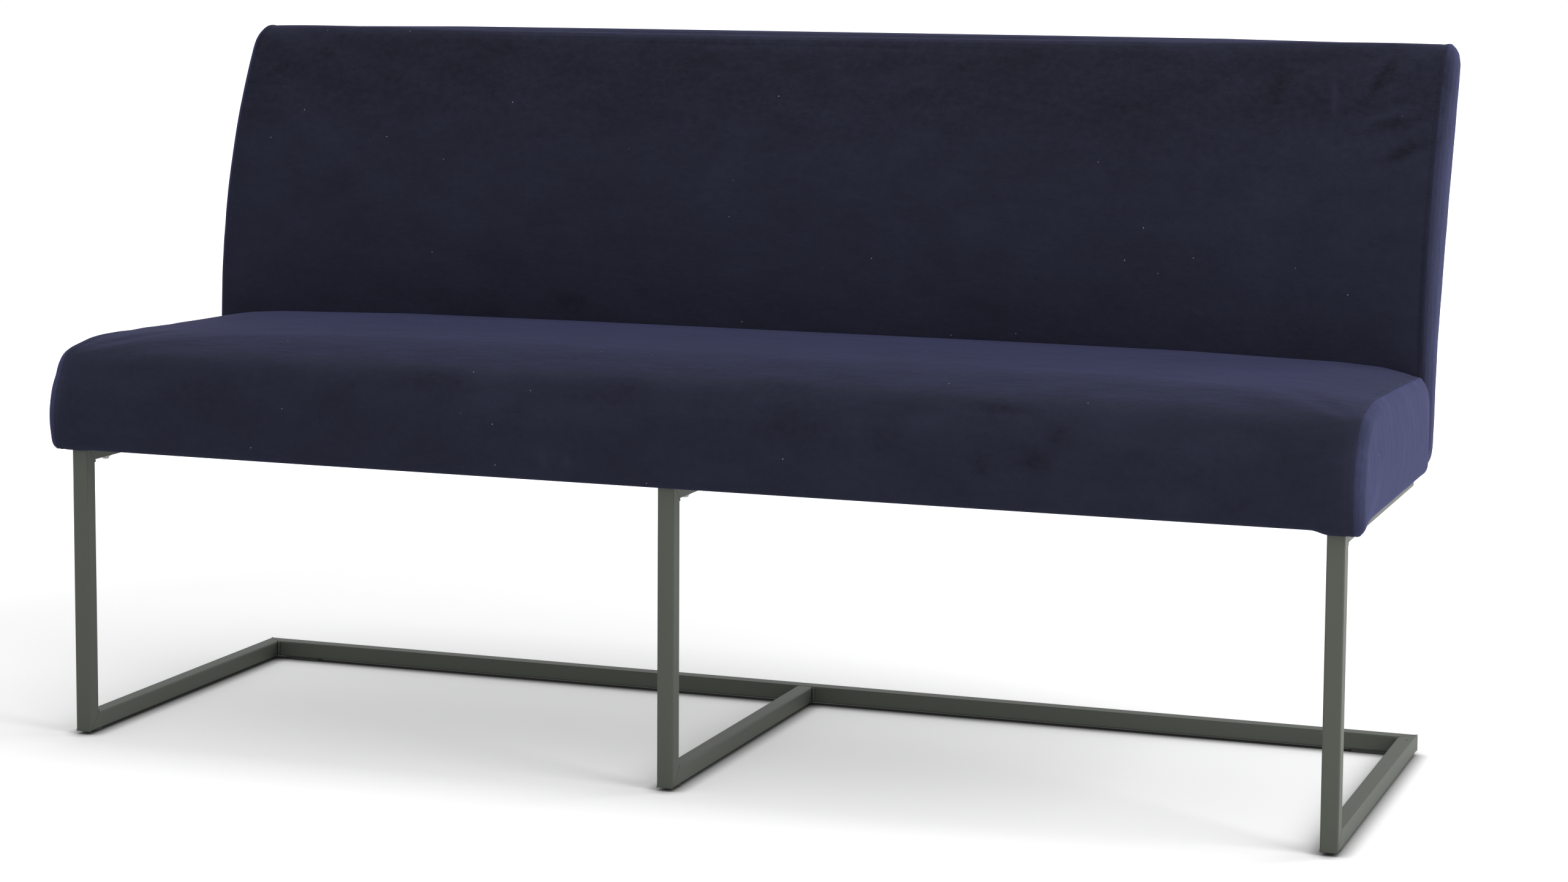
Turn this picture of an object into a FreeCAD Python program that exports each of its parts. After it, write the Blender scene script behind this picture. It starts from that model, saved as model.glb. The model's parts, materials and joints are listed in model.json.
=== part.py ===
import FreeCAD, Part
import math
import os

# A dining bench: an upholstered seat and back, carried by a cantilever frame of square steel tube.
# Millimetres. While it is drawn, X is 0 at the middle of the length, Y is 0 at the front of the legs and
# grows towards the back, and Z is 0 on the floor. At the end the whole bench moves to centre its box.

# Steel frame
legInset = 28.5
frameDepth = 500.0
frameHeight = 352.0
tubeSide = 20.0
tubeWall = 1.5
tubeCorner = 2.0
bearerBeyondSeat = 30.0
weldLeg = 3.5
weldInset = 2.0
ventDiameter = 3.0
ventFromRear = 33.0
ventOffset = 3.0

# Glides under the frame and plugs in the bearers' open ends
glideThickness = 4.0
frontGlideDiameter = 16.0
rearGlideLength = 49.0
rearGlideWidth = 16.0
rearGlideFromSide = 29.5
pegDiameter = 6.0
pegHeight = 5.0
pegClearance = 0.1
plugHead = 2.0
plugDepth = 14.0
plugClearance = 0.15

# Upholstery layers
coverThickness = 1.5
layerGap = 0.2
cushionGap = 0.8
dustThickness = 1.0
dustMargin = 14.0
flangeLap = 23.0
webThickness = 1.5

# Seat cushion
seatLength = 1602.0
seatDepth = 407.5
seatOverhang = 13.0
seatThickness = 124.0
seatCrown = 9.0
seatFrontSwell = 8.5
seatSwellHeight = 30.0
seatNoseHeight = 87.0
seatNoseSetback = 8.0
seatCornerSetback = 36.0
seatCornerFall = 11.0
seatCornerBow = 4.5
seatShoulderDepth = 110.0
seatShoulderBow = 2.0
seatRearFall = 3.0
seatEndShoulderFall = 5.0
seatEndRearFall = 16.0
seatEndHeelGrowth = 20.0
seatEndFallReach = 100.0
seatEndStations = (0.94, 0.975)
seatToeRadius = 4.0
seatToeSag = 4.0
seatToeGap = 1.0
seatHeelRadius = 8.0
seatEdgeRadius = 9.0
seatEndBulge = 6.0
seatBulgeInset = 50.0
seatSeamInset = 17.0

# Seat timber and webbing
railThickness = 25.0
seatRailHeight = 65.0
seatRailFromFront = 16.0
crossRailDrop = 15.0
cornerBlockSide = 62.0
cornerBlockHeight = 42.0
bayCount = 4
strapsPerBay = 3
seatStrapWidth = 60.0
strapInset = 3.0

# Back cushion
backEndInset = 6.0
backRise = 498.0
backFootRise = 5.0
backBendRise = 98.0
backFaceRadius = 735.0
backFaceSwell = 4.0
backFrontRounding = 48.0
backRearRounding = 20.0
backFootThickness = 61.0
backRearBendRise = 138.0
backBlend = 55.0
backToeRadius = 8.0
backHeelRadius = 20.0
backEdgeRadius = 10.0
backEndBulge = 3.0
backBulgeInset = 20.0
backSeamInset = 11.0
backTopCrown = 6.0
backFlare = 5.0

# Back timber and webbing
backFoam = 22.0
backPadding = 7.0
backTopFoam = 27.0
backEndFoam = 18.0
uprightThickness = 28.0
uprightCount = 4
lowerRailHeight = 80.0
lowerRailFromFoot = 8.0
topRailHeight = 30.0
backStrapWidth = 50.0
backStrapsPerBay = 3
strapTab = 18.0

# Bolts that hold the seat on the bearers
seatBoltDiameter = 6.0
seatBoltLength = 50.0
seatBoltHead = 11.0
seatBoltHeadHeight = 3.3
seatBoltKey = 4.0
seatBoltKeyDepth = 2.0
seatBoltFromRail = 32.0
seatWasherDiameter = 14.0
seatWasherThickness = 1.2
insertDiameter = 10.0
insertLength = 15.0

# Bolts that hold the back on the seat's rear rail
backBoltDiameter = 8.0
backBoltLength = 70.0
backBoltHead = 13.0
backBoltHeadHeight = 5.3
backBoltHeight = 38.0
backWasherDiameter = 20.0
backWasherThickness = 1.6
nutFlange = 22.0
nutFlangeThickness = 1.6
nutBarrel = 10.0
nutBarrelLength = 11.0

# Clearances of fasteners, how far a cutting shape runs past a face, and an inner layer's least rounding
threadGap = 0.1
holeGap = 0.5
cutMargin = 1.0
leastRounding = 2.0

# Levels and faces that follow from the sizes above
halfFrame = seatLength / 2 - legInset
frameLength = 2 * halfFrame
frameBottom = glideThickness
bearerTop = frameBottom + frameHeight
legCentre = halfFrame - tubeSide / 2
coverBottom = bearerTop + dustThickness
railBottom = coverBottom + coverThickness + layerGap
railTop = railBottom + seatRailHeight
foamBottom = railTop + webThickness + layerGap
seatFront = -seatOverhang
seatRear = seatFront + seatDepth
bearerLength = seatRear + bearerBeyondSeat
railFront = seatFront + seatRailFromFront
railRear = seatRear - coverThickness - layerGap
railHalf = legCentre + railThickness / 2
backLength = seatLength - 2 * backEndInset
backFront = seatRear + cushionGap
backBottom = bearerTop + backFootRise
backTop = bearerTop + backRise
backBendLevel = bearerTop + backBendRise
rearBendLevel = bearerTop + backRearBendRise
lowerRailFront = backFront + coverThickness + layerGap
lowerRailBottom = backBottom + lowerRailFromFoot
lowerRailTop = lowerRailBottom + lowerRailHeight
uprightFront = lowerRailFront + railThickness
topRailTop = backTop - backTopFoam
backTimberHalf = backLength / 2 - backEndFoam
backBoltLevel = railBottom + backBoltHeight
seatBoltHole = seatBoltDiameter + 2 * holeGap
backBoltHole = backBoltDiameter + 2 * holeGap


def vector(x, y, z):
    return FreeCAD.Vector(x, y, z)


def box(x0, x1, y0, y1, z0, z1):
    return Part.makeBox(x1 - x0, y1 - y0, z1 - z0, vector(x0, y0, z0))


def rod(diameter, length, start, direction):
    return Part.makeCylinder(diameter / 2, length, start, direction)


def prismAlongX(points, x0, x1):
    # points are (y, z) corners of a closed outline
    corners = [vector(x0, y, z) for y, z in points]
    face = Part.Face(Part.makePolygon(corners + corners[:1]))
    return face.extrude(vector(x1 - x0, 0, 0))


def prismAlongZ(points, z0, z1):
    # points are (x, y) corners of a closed outline
    corners = [vector(x, y, z0) for x, y in points]
    face = Part.Face(Part.makePolygon(corners + corners[:1]))
    return face.extrude(vector(0, 0, z1 - z0))


def group(solids):
    return Part.makeCompound(solids)


def mirrored(shape):
    return shape.mirror(vector(0, 0, 0), vector(1, 0, 0))


# Steel frame

def roundedSquare(side, radius, length):
    # a square bar along Z with rounded edges, centred on the origin
    bar = box(-side / 2, side / 2, -side / 2, side / 2, 0, length)
    upright = [edge for edge in bar.Edges if abs(edge.tangentAt(edge.FirstParameter).z) > 0.9]
    return bar.makeFillet(radius, upright)


def tube(centre, direction, length):
    outer = roundedSquare(tubeSide, tubeCorner, length)
    inner = roundedSquare(tubeSide - 2 * tubeWall, tubeCorner / 2, length)
    hollow = outer.cut(inner)
    hollow.Placement = FreeCAD.Placement(centre, FreeCAD.Rotation(vector(0, 0, 1), direction))
    return hollow


def sideOutline(front, rear, low, high, mitre):
    # a bearer or runner seen from the side: its front end is mitred up from the foot or down from the top
    if mitre == "foot":
        return [(front, low), (front + tubeSide, high), (rear, high), (rear, low)]
    return [(front, high), (rear, high), (rear, low), (front + tubeSide, low)]


def leg(x):
    bar = tube(vector(x, tubeSide / 2, frameBottom), vector(0, 0, 1), frameHeight)
    low = frameBottom
    outline = [(0, low), (0, bearerTop), (tubeSide, bearerTop - tubeSide), (tubeSide, low + tubeSide)]
    return bar.common(prismAlongX(outline, x - tubeSide, x + tubeSide))


def pegHole(x, y):
    start = vector(x, y, frameBottom - cutMargin)
    return rod(pegDiameter + 2 * pegClearance, pegHeight + cutMargin, start, vector(0, 0, 1))


def runner(x, rear):
    bar = tube(vector(x, 0, frameBottom + tubeSide / 2), vector(0, 1, 0), rear)
    outline = sideOutline(0, rear, frameBottom, frameBottom + tubeSide, "foot")
    bar = bar.common(prismAlongX(outline, x - tubeSide, x + tubeSide))
    return bar.cut(pegHole(x, frontGlidePlace()))


def frontGlidePlace():
    return tubeSide + frontGlideDiameter / 2


def railMitre():
    # the space of the rear rail, with its ends mitred to the outer runners
    front = frameDepth - tubeSide
    inner = halfFrame - tubeSide
    outline = [(-halfFrame, frameDepth), (halfFrame, frameDepth), (inner, front), (-inner, front)]
    return prismAlongZ(outline, frameBottom - cutMargin, frameBottom + tubeSide + cutMargin)


def outerRunner():
    # the right runner, whose rear end is mitred to the rear rail
    return runner(legCentre, frameDepth).cut(railMitre())


def rightRunner():
    vent = vector(legCentre + ventOffset, frameDepth - ventFromRear, frameBottom + tubeSide / 2)
    return outerRunner().cut(rod(ventDiameter, tubeSide, vent, vector(0, 0, 1)))


def centreRunner():
    return runner(0, frameDepth - tubeSide)


def rearRail():
    centre = vector(-halfFrame, frameDepth - tubeSide / 2, frameBottom + tubeSide / 2)
    bar = tube(centre, vector(1, 0, 0), frameLength)
    bar = bar.common(railMitre())
    for x in rearPegs():
        bar = bar.cut(pegHole(x, frameDepth - tubeSide / 2))
    return bar


def seatBoltPlaces():
    inset = railThickness + seatBoltFromRail
    rows = [railFront + inset, railRear - inset]
    return [(x, y) for x in (-legCentre, 0, legCentre) for y in rows]


def bearer(x):
    bar = tube(vector(x, 0, bearerTop - tubeSide / 2), vector(0, 1, 0), bearerLength)
    outline = sideOutline(0, bearerLength, bearerTop - tubeSide, bearerTop, "top")
    bar = bar.common(prismAlongX(outline, x - tubeSide, x + tubeSide))
    for boltX, boltY in seatBoltPlaces():
        if boltX == x:
            start = vector(boltX, boltY, bearerTop - tubeSide - cutMargin)
            length = tubeSide + 2 * cutMargin
            bar = bar.cut(rod(seatBoltHole, length, start, vector(0, 0, 1)))
    return bar


def weldBead(x, y, z, upwards):
    # a fillet weld across a tube's face, in the inner corner of a mitre
    rise = weldLeg if upwards else -weldLeg
    outline = [(y, z), (y + weldLeg, z), (y, z + rise)]
    half = tubeSide / 2 - weldInset
    return prismAlongX(outline, x - half, x + half)


def sideWeld(x, side):
    # an upright fillet weld between the centre runner's side and the rear rail
    face = frameDepth - tubeSide
    outline = [(x, face), (x + side * weldLeg, face), (x, face - weldLeg)]
    return prismAlongZ(outline, frameBottom + weldInset, frameBottom + tubeSide - weldInset)


def frameWelds():
    beads = []
    for x in (-legCentre, 0, legCentre):
        beads.append(weldBead(x, tubeSide, frameBottom + tubeSide, True))
        beads.append(weldBead(x, tubeSide, bearerTop - tubeSide, False))
    for side in (-1, 1):
        beads.append(sideWeld(side * tubeSide / 2, side))
        beads.append(sideWeld(side * (halfFrame - tubeSide), -side))
    return group(beads)


def peg(x, y):
    return rod(pegDiameter, pegHeight, vector(x, y, frameBottom - pegClearance), vector(0, 0, 1))


def frontGlides():
    pads = []
    for x in (-legCentre, 0, legCentre):
        y = frontGlidePlace()
        pad = rod(frontGlideDiameter, glideThickness, vector(x, y, 0), vector(0, 0, 1))
        pads.append(pad.fuse(peg(x, y)).removeSplitter())
    return group(pads)


def rearPegs():
    inner = halfFrame - rearGlideFromSide - rearGlideLength / 2
    return [-inner, inner]


def rearGlides():
    pads = []
    y = frameDepth - tubeSide / 2
    half = rearGlideLength / 2
    for x in rearPegs():
        pad = box(x - half, x + half, y - rearGlideWidth / 2, y + rearGlideWidth / 2, 0, glideThickness)
        upright = [edge for edge in pad.Edges if abs(edge.tangentAt(edge.FirstParameter).z) > 0.9]
        pad = pad.makeFillet(rearGlideWidth / 4, upright)
        pads.append(pad.fuse(peg(x, y)).removeSplitter())
    return group(pads)


def bearerPlugs():
    # a ribbed plug would look the same from outside, so the shank is one plain square
    plugs = []
    shank = tubeSide - 2 * tubeWall - 2 * plugClearance
    z = bearerTop - tubeSide / 2
    for x in (-legCentre, 0, legCentre):
        head = roundedSquare(tubeSide, tubeCorner, plugHead)
        stem = roundedSquare(shank, tubeCorner / 2, plugDepth)
        stem.translate(vector(0, 0, -plugDepth))
        plug = head.fuse(stem)
        turn = FreeCAD.Rotation(vector(0, 0, 1), vector(0, 1, 0))
        plug.Placement = FreeCAD.Placement(vector(x, bearerLength, z), turn)
        plugs.append(plug)
    return group(plugs)


# Cushions are lofts through sections at steady places along X. A section is a start point and a list of
# segments, each a straight line to a point or an arc through a point to a point, all as (y, z).

def unit(y, z):
    size = math.hypot(y, z)
    return y / size, z / size


def bowed(first, second, rise):
    # the middle point of an arc that stands out by rise to the left of the line from first to second
    alongY, alongZ = unit(second[0] - first[0], second[1] - first[1])
    return (first[0] + second[0]) / 2 - rise * alongZ, (first[1] + second[1]) / 2 + rise * alongY


def seatOutline(lift, fall, skin):
    # lift is 0 at the ends and 1 in the middle, where the crown is full; fall is 1 where the top rolls over
    # the ends; skin is the thickness of the layers outside, and an inner layer's toe sags less
    bottom = coverBottom
    top = bottom + seatThickness
    crown = lift * seatCrown
    toe = (seatFront + seatOverhang - seatToeGap, bottom)
    sag = ((toe[0] + seatFront - seatFrontSwell / 2) / 2, bottom - seatToeSag + skin)
    toeEnd = (seatFront - seatFrontSwell / 2, bottom + seatToeRadius)
    heel = seatHeelRadius + seatEndHeelGrowth * fall
    swell = (seatFront - seatFrontSwell, bottom + seatSwellHeight)
    nose = (seatFront + seatNoseSetback, bottom + seatNoseHeight)
    corner = (seatFront + seatCornerSetback, top - seatCornerFall + crown / 2)
    shoulder = (seatFront + seatShoulderDepth, top + crown - seatEndShoulderFall * fall)
    rear = (seatRear - heel, top + crown - seatRearFall * (1 - lift) - seatEndRearFall * fall)
    rearEdge = (seatRear, rear[1] - heel)
    return (seatRear, bottom), [
        ("line", toe),
        ("arc", sag, toeEnd),
        ("arc", swell, nose),
        ("arc", bowed(nose, corner, seatCornerBow), corner),
        ("arc", bowed(corner, shoulder, seatShoulderBow), shoulder),
        ("arc", bowed(shoulder, rear, lift + seatShoulderBow / 4), rear),
        ("arc", bowed(rear, rearEdge, heel / 4), rearEdge),
        ("line", (seatRear, bottom)),
    ]


def crest(top, radius):
    # the middle of the rounding at the top, and the direction in which the face's long arc meets it
    centreY = backFront + backFaceRadius
    inner = backFaceRadius - radius
    rise = top - radius - backBendLevel
    crestY = centreY - math.sqrt(inner ** 2 - rise ** 2)
    return crestY, unit(crestY - centreY, rise)


def rearLine(top, inset):
    # the reclined rear face: it starts at the rear bend and touches the rear rounding at the top
    radius = max(backRearRounding - inset, leastRounding)
    crestY = crest(top, backFrontRounding)[0]
    startY = backFront + backFootThickness - inset
    riseY = crestY - startY
    riseZ = top - inset - radius - rearBendLevel
    reach = math.hypot(riseY, riseZ)
    heading = math.atan2(riseZ, riseY) - math.asin(radius / reach)
    length = math.sqrt(reach ** 2 - radius ** 2)
    return (startY, rearBendLevel), (math.cos(heading), math.sin(heading)), length, radius


def arcMiddle(centre, radius, first, second):
    # the point half way along an arc between two directions from its centre
    y, z = unit(first[0] + second[0], first[1] + second[1])
    return centre[0] + radius * y, centre[1] + radius * z


def backOutline(lift, inset):
    # lift raises the top and pushes the face forward at this section, and inset draws every face inwards
    top = backTop - backTopCrown * (1 - lift)
    crestY, outwards = crest(top, backFrontRounding)
    faceCentre = (backFront + backFaceRadius, backBendLevel)
    faceReach = backFaceRadius - inset
    meeting = (faceCentre[0] + faceReach * outwards[0], faceCentre[1] + faceReach * outwards[1])
    face = arcMiddle(faceCentre, faceReach + lift * backFaceSwell, (-1, 0), outwards)
    roundCentre = (crestY, top - backFrontRounding)
    frontRound = arcMiddle(roundCentre, backFrontRounding - inset, outwards, (0, 1))
    (bendY, bendZ), (alongY, alongZ), length, rearRadius = rearLine(top, inset)
    touch = (bendY + alongY * length, bendZ + alongZ * length)
    rearCentre = (crestY, top - inset - rearRadius)
    rearRound = arcMiddle(rearCentre, rearRadius, (0, 1), (alongZ, -alongY))
    turn = math.pi / 2 - math.atan2(alongZ, alongY)
    blendShift = backBlend * (1 / math.cos(turn / 2) - 1) / math.tan(turn / 2)
    towardsY, towardsZ = unit(1 + alongZ, -alongY)
    blendMiddle = (bendY + blendShift * towardsY, bendZ + blendShift * towardsZ)
    toe = max(backToeRadius - inset, leastRounding)
    heel = max(backHeelRadius - inset, leastRounding)
    foot = backBottom + inset
    front = backFront + inset
    return (bendY - heel, foot), [
        ("line", (front + toe, foot)),
        ("arc", (front + 0.3 * toe, foot + 0.3 * toe), (front, foot + toe)),
        ("line", (front, backBendLevel)),
        ("arc", face, meeting),
        ("arc", frontRound, (crestY, top - inset)),
        ("arc", rearRound, touch),
        ("line", (bendY + alongY * backBlend, bendZ + alongZ * backBlend)),
        ("arc", blendMiddle, (bendY, bendZ - backBlend)),
        ("line", (bendY, foot + heel)),
        ("arc", (bendY - 0.3 * heel, foot + 0.3 * heel), (bendY - heel, foot)),
    ]


def sectionWire(outline, place):
    # place turns an outline's (y, z) point into a point of the section
    start, segments = outline
    here = place(start)
    edges = []
    for segment in segments:
        there = place(segment[-1])
        if segment[0] == "arc":
            edges.append(Part.Arc(here, place(segment[1]), there).toShape())
        else:
            edges.append(Part.LineSegment(here, there).toShape())
        here = there
    return Part.Wire(edges)


def stations(length, edgeRadius, endBulge, bulgeInset, skin, nearEnds=()):
    # (x, inset, lift) from the left end to the right: a domed panel, a rounded edge and the crowned middle.
    # skin draws every section in by the thickness of the layers outside it, and nearEnds adds sections.
    half = length / 2 - skin
    lastTurn = math.radians(75)
    edge = half - endBulge - edgeRadius * math.sin(lastTurn)
    right = []
    for share in (0.0, 0.35, 0.65, 0.88, *nearEnds):
        right.append((share * edge, skin, max(1 - share ** 6, 0.2)))
    right.append((edge, skin, 0.2))
    for turn in (lastTurn / 2, lastTurn):
        right.append((edge + edgeRadius * math.sin(turn), skin + edgeRadius * (1 - math.cos(turn)), 0.0))
    right.append((half, skin + bulgeInset, 0.0))
    left = [(-x, inset, lift) for x, inset, lift in reversed(right[1:])]
    return left + right


def endFall(x):
    # 0 from seatEndFallReach inside the end, and 1 at the end
    share = 1 - (seatLength / 2 - abs(x)) / seatEndFallReach
    return max(share, 0.0) ** 3


def seatForm(skin):
    middleY = (seatFront - seatFrontSwell + seatRear) / 2
    middleZ = coverBottom + seatThickness / 2
    halfY = seatRear - middleY
    halfZ = seatThickness / 2
    wires = []
    places = stations(seatLength, seatEdgeRadius, seatEndBulge, seatBulgeInset, skin, seatEndStations)
    for x, inset, lift in places:

        def place(point):
            y = middleY + (point[0] - middleY) * (1 - inset / halfY)
            z = middleZ + (point[1] - middleZ) * (1 - inset / halfZ)
            return vector(x, y, z)

        wires.append(sectionWire(seatOutline(lift, endFall(x), skin), place))
    return Part.makeLoft(wires, True, True)


def backForm(skin):
    # the ends lean outwards by backFlare from the foot to the top
    middleZ = (backBottom + backTop) / 2
    lean = 2 * backFlare / backLength / (backTop - backBottom)
    wires = []
    for x, inset, lift in stations(backLength, backEdgeRadius, backEndBulge, backBulgeInset, skin):

        def place(point):
            return vector(x * (1 + lean * (point[1] - middleZ)), point[0], point[1])

        wires.append(sectionWire(backOutline(lift, inset), place))
    return Part.makeLoft(wires, True, True)


def crossRailPlaces():
    # the centre lines of the seat frame's end rails and cross rails
    return [legCentre * (2 * index / bayCount - 1) for index in range(bayCount + 1)]


def spread(centres, perBay):
    # places spread evenly in each bay between two centre lines
    places = []
    for left, right in zip(centres, centres[1:]):
        for index in range(perBay):
            places.append(left + (right - left) * (index + 1) / (perBay + 1))
    return places


# Covers

def backBoltPlaces():
    # one bolt in the middle of each bay of the seat's frame
    return spread(crossRailPlaces(), 1)


def seatBoltHoles(low, high):
    return [rod(seatBoltHole, high - low, vector(x, y, low), vector(0, 0, 1)) for x, y in seatBoltPlaces()]


def backBoltHoles(diameter, front, rear):
    level = backBoltLevel
    return [rod(diameter, rear - front, vector(x, front, level), vector(0, 1, 0)) for x in backBoltPlaces()]


def clear(shape, tools):
    for tool in tools:
        shape = shape.cut(tool)
    return shape


def across(low, high, reach):
    # a block that takes in everything between two places along X
    return box(low, high, -reach, reach, -reach, reach)


def seatShell():
    return seatForm(0).cut(seatForm(coverThickness))


def seatCover():
    # the wrap over front, top and rear, folded under the rails and open below for the dust cover
    seam = seatLength / 2 - seatSeamInset
    shell = seatShell().common(across(-seam, seam, backTop))
    half = railHalf - flangeLap
    front, rear = railFront + flangeLap, railRear - flangeLap
    shell = shell.cut(box(-half, half, front, rear, coverBottom - cutMargin, railBottom))
    shell = clear(shell, seatBoltHoles(coverBottom - cutMargin, railBottom))
    return clear(shell, backBoltHoles(backBoltHole, railRear - cutMargin, seatRear + cutMargin))


def seatEndPanel():
    seam = seatLength / 2 - seatSeamInset
    return seatShell().common(across(seam, seatLength, backTop))


def dustCover():
    half = seatLength / 2 - seatSeamInset - dustMargin
    sheet = box(-half, half, seatFront + dustMargin, seatRear - dustMargin, bearerTop, coverBottom)
    return clear(sheet, seatBoltHoles(bearerTop - cutMargin, coverBottom + cutMargin))


def backShell():
    return backForm(0).cut(backForm(coverThickness))


def backCover():
    seam = backLength / 2 - backSeamInset
    shell = backShell().common(across(-seam, seam, 2 * backTop))
    holes = backBoltHoles(backBoltHole, backFront - cutMargin, lowerRailFront)
    return clear(shell, holes)


def backEndPanel():
    seam = backLength / 2 - backSeamInset
    return backShell().common(across(seam, backLength, 2 * backTop))


# Seat timber, webbing and foam

def boltPocket(x, y):
    insert = rod(insertDiameter + 2 * threadGap, insertLength, vector(x, y, railBottom), vector(0, 0, 1))
    depth = bearerTop - tubeSide - seatWasherThickness + seatBoltLength + holeGap - railBottom
    shank = rod(seatBoltHole, depth, vector(x, y, railBottom), vector(0, 0, 1))
    return insert.fuse(shank)


def lengthRail(front):
    return box(-railHalf, railHalf, front, front + railThickness, railBottom, railTop)


def crossRail(x, top):
    rail = box(
        x - railThickness / 2, x + railThickness / 2,
        railFront + railThickness, railRear - railThickness,
        railBottom, top,
    )
    return clear(rail, [boltPocket(boltX, boltY) for boltX, boltY in seatBoltPlaces() if boltX == x])


def seatRearRail():
    front = railRear - railThickness
    holes = backBoltHoles(backBoltHole, front - cutMargin, railRear + cutMargin)
    return clear(lengthRail(front), holes)


def cornerBlocks():
    blocks = []
    side = cornerBlockSide
    low = railBottom + (seatRailHeight - crossRailDrop - cornerBlockHeight) / 2
    for end in (-1, 1):
        x = end * (legCentre - railThickness / 2)
        for y, way in ((railFront + railThickness, 1), (railRear - railThickness, -1)):
            corners = [(x, y), (x - end * side, y), (x, y + way * side)]
            blocks.append(prismAlongZ(corners, low, low + cornerBlockHeight))
    return group(blocks)


def seatWebbing():
    half = seatStrapWidth / 2
    front, rear = railFront + strapInset, railRear - strapInset
    return group([
        box(x - half, x + half, front, rear, railTop, railTop + webThickness)
        for x in spread(crossRailPlaces(), strapsPerBay)
    ])


def seatFoam():
    reach = seatLength
    return seatForm(coverThickness + layerGap).common(box(-reach, reach, -reach, reach, foamBottom, reach))


def seatEdgeWrap():
    reach = seatLength
    top = foamBottom - layerGap
    band = seatForm(coverThickness + layerGap).common(box(-reach, reach, -reach, reach, 0, top))
    half = railHalf + layerGap
    return band.cut(box(-half, half, railFront - layerGap, reach, 0, reach))


# Back timber, webbing and foam

def backSlope():
    (y, z), (alongY, alongZ), length, radius = rearLine(backTop, 0)
    return alongY / alongZ


def timberRear(z):
    # the rear face of the back's timber, upright at the foot and reclined above the bend
    return backFront + backFootThickness - backPadding + max(z - rearBendLevel, 0) * backSlope()


def timberFront(z):
    # the front face of the back's timber, upright at the foot and straight above the bend
    crestY, outwards = crest(backTop, backFrontRounding)
    topY = crestY - backFrontRounding * math.cos(math.radians(45)) + backFoam
    share = max(z - backBendLevel, 0) / (topRailTop - backBendLevel)
    return uprightFront + share * (topY - uprightFront)


def backLowerRail():
    half = backTimberHalf
    rail = box(-half, half, lowerRailFront, uprightFront, lowerRailBottom, lowerRailTop)
    front, rear = lowerRailFront - cutMargin, uprightFront + cutMargin
    rail = clear(rail, backBoltHoles(backBoltHole, front, rear))
    barrel = nutBarrel + 2 * threadGap
    return clear(rail, backBoltHoles(barrel, uprightFront - nutBarrelLength - threadGap, rear))


def backTopRail():
    low, high = topRailTop - topRailHeight, topRailTop
    outline = [
        (timberFront(low), low), (timberFront(high), high),
        (timberRear(high), high), (timberRear(low), low),
    ]
    return prismAlongX(outline, -backTimberHalf, backTimberHalf)


def uprightPlaces():
    first = -backTimberHalf + uprightThickness / 2
    step = -2 * first / (uprightCount - 1)
    return [first + index * step for index in range(uprightCount)]


def backUpright(x):
    top = topRailTop - topRailHeight
    outline = [
        (uprightFront, lowerRailBottom), (uprightFront, backBendLevel), (timberFront(top), top),
        (timberRear(top), top), (timberRear(0), rearBendLevel), (timberRear(0), lowerRailBottom),
    ]
    return prismAlongX(outline, x - uprightThickness / 2, x + uprightThickness / 2)


def backWebbing():
    # each strap starts on the rear of the lower rail and ends on the front of the top rail
    low = topRailTop - topRailHeight
    high = low + strapTab
    thick = webThickness
    outline = [
        (uprightFront, lowerRailTop - strapTab), (uprightFront, lowerRailTop + thick),
        (timberFront(low) - thick, low), (timberFront(high) - thick, high),
        (timberFront(high), high), (timberFront(low), low),
        (uprightFront + thick, lowerRailTop), (uprightFront + thick, lowerRailTop - strapTab),
    ]
    half = backStrapWidth / 2
    places = spread(uprightPlaces(), backStrapsPerBay)
    return group([prismAlongX(outline, x - half, x + half) for x in places])


def backFoamBlock():
    # foam in front of the webbing, over the top rail and round the ends
    form = backForm(coverThickness + layerGap)
    far = backLength
    before = webThickness + layerGap
    outline = [
        (-far, 0), (-far, lowerRailTop + layerGap), (uprightFront - before, lowerRailTop + layerGap),
        (uprightFront - before, backBendLevel), (timberFront(topRailTop) - before, topRailTop + layerGap),
        (far, topRailTop + layerGap), (far, 0),
    ]
    half = backTimberHalf + layerGap
    return form.cut(prismAlongX(outline, -half, half))


def backRearPadding():
    form = backForm(coverThickness + layerGap)
    far = backLength
    high = topRailTop
    outline = [
        (timberRear(0) + layerGap, 0), (timberRear(0) + layerGap, rearBendLevel),
        (timberRear(high) + layerGap, high), (far, high), (far, 0),
    ]
    return form.common(prismAlongX(outline, -backTimberHalf, backTimberHalf))


# Fasteners

def washer(diameter, hole, thickness, start, direction):
    return rod(diameter, thickness, start, direction).cut(rod(hole, thickness, start, direction))


def hexagon(acrossFlats, length, start, direction):
    radius = acrossFlats / 2 / math.cos(math.radians(30))
    corners = []
    for index in range(7):
        angle = math.radians(60 * index)
        corners.append(vector(radius * math.cos(angle), radius * math.sin(angle), 0))
    bar = Part.Face(Part.makePolygon(corners)).extrude(vector(0, 0, length))
    bar.Placement = FreeCAD.Placement(start, FreeCAD.Rotation(vector(0, 0, 1), direction))
    return bar


def seatBolts():
    up = vector(0, 0, 1)
    seat = bearerTop - tubeSide - seatWasherThickness
    bolts = []
    for x, y in seatBoltPlaces():
        low = seat - seatBoltHeadHeight
        wide = seatBoltHead / 2
        head = Part.makeCone(wide - seatBoltHeadHeight / 2, wide, seatBoltHeadHeight, vector(x, y, low), up)
        head = head.cut(hexagon(seatBoltKey, seatBoltKeyDepth, vector(x, y, low), up))
        shank = rod(seatBoltDiameter, seatBoltLength, vector(x, y, seat), up)
        bolts.append(head.fuse(shank).removeSplitter())
    return group(bolts)


def seatWashers():
    low = bearerTop - tubeSide - seatWasherThickness
    hole = seatBoltDiameter + 2 * threadGap
    return group([
        washer(seatWasherDiameter, hole, seatWasherThickness, vector(x, y, low), vector(0, 0, 1))
        for x, y in seatBoltPlaces()
    ])


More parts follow.
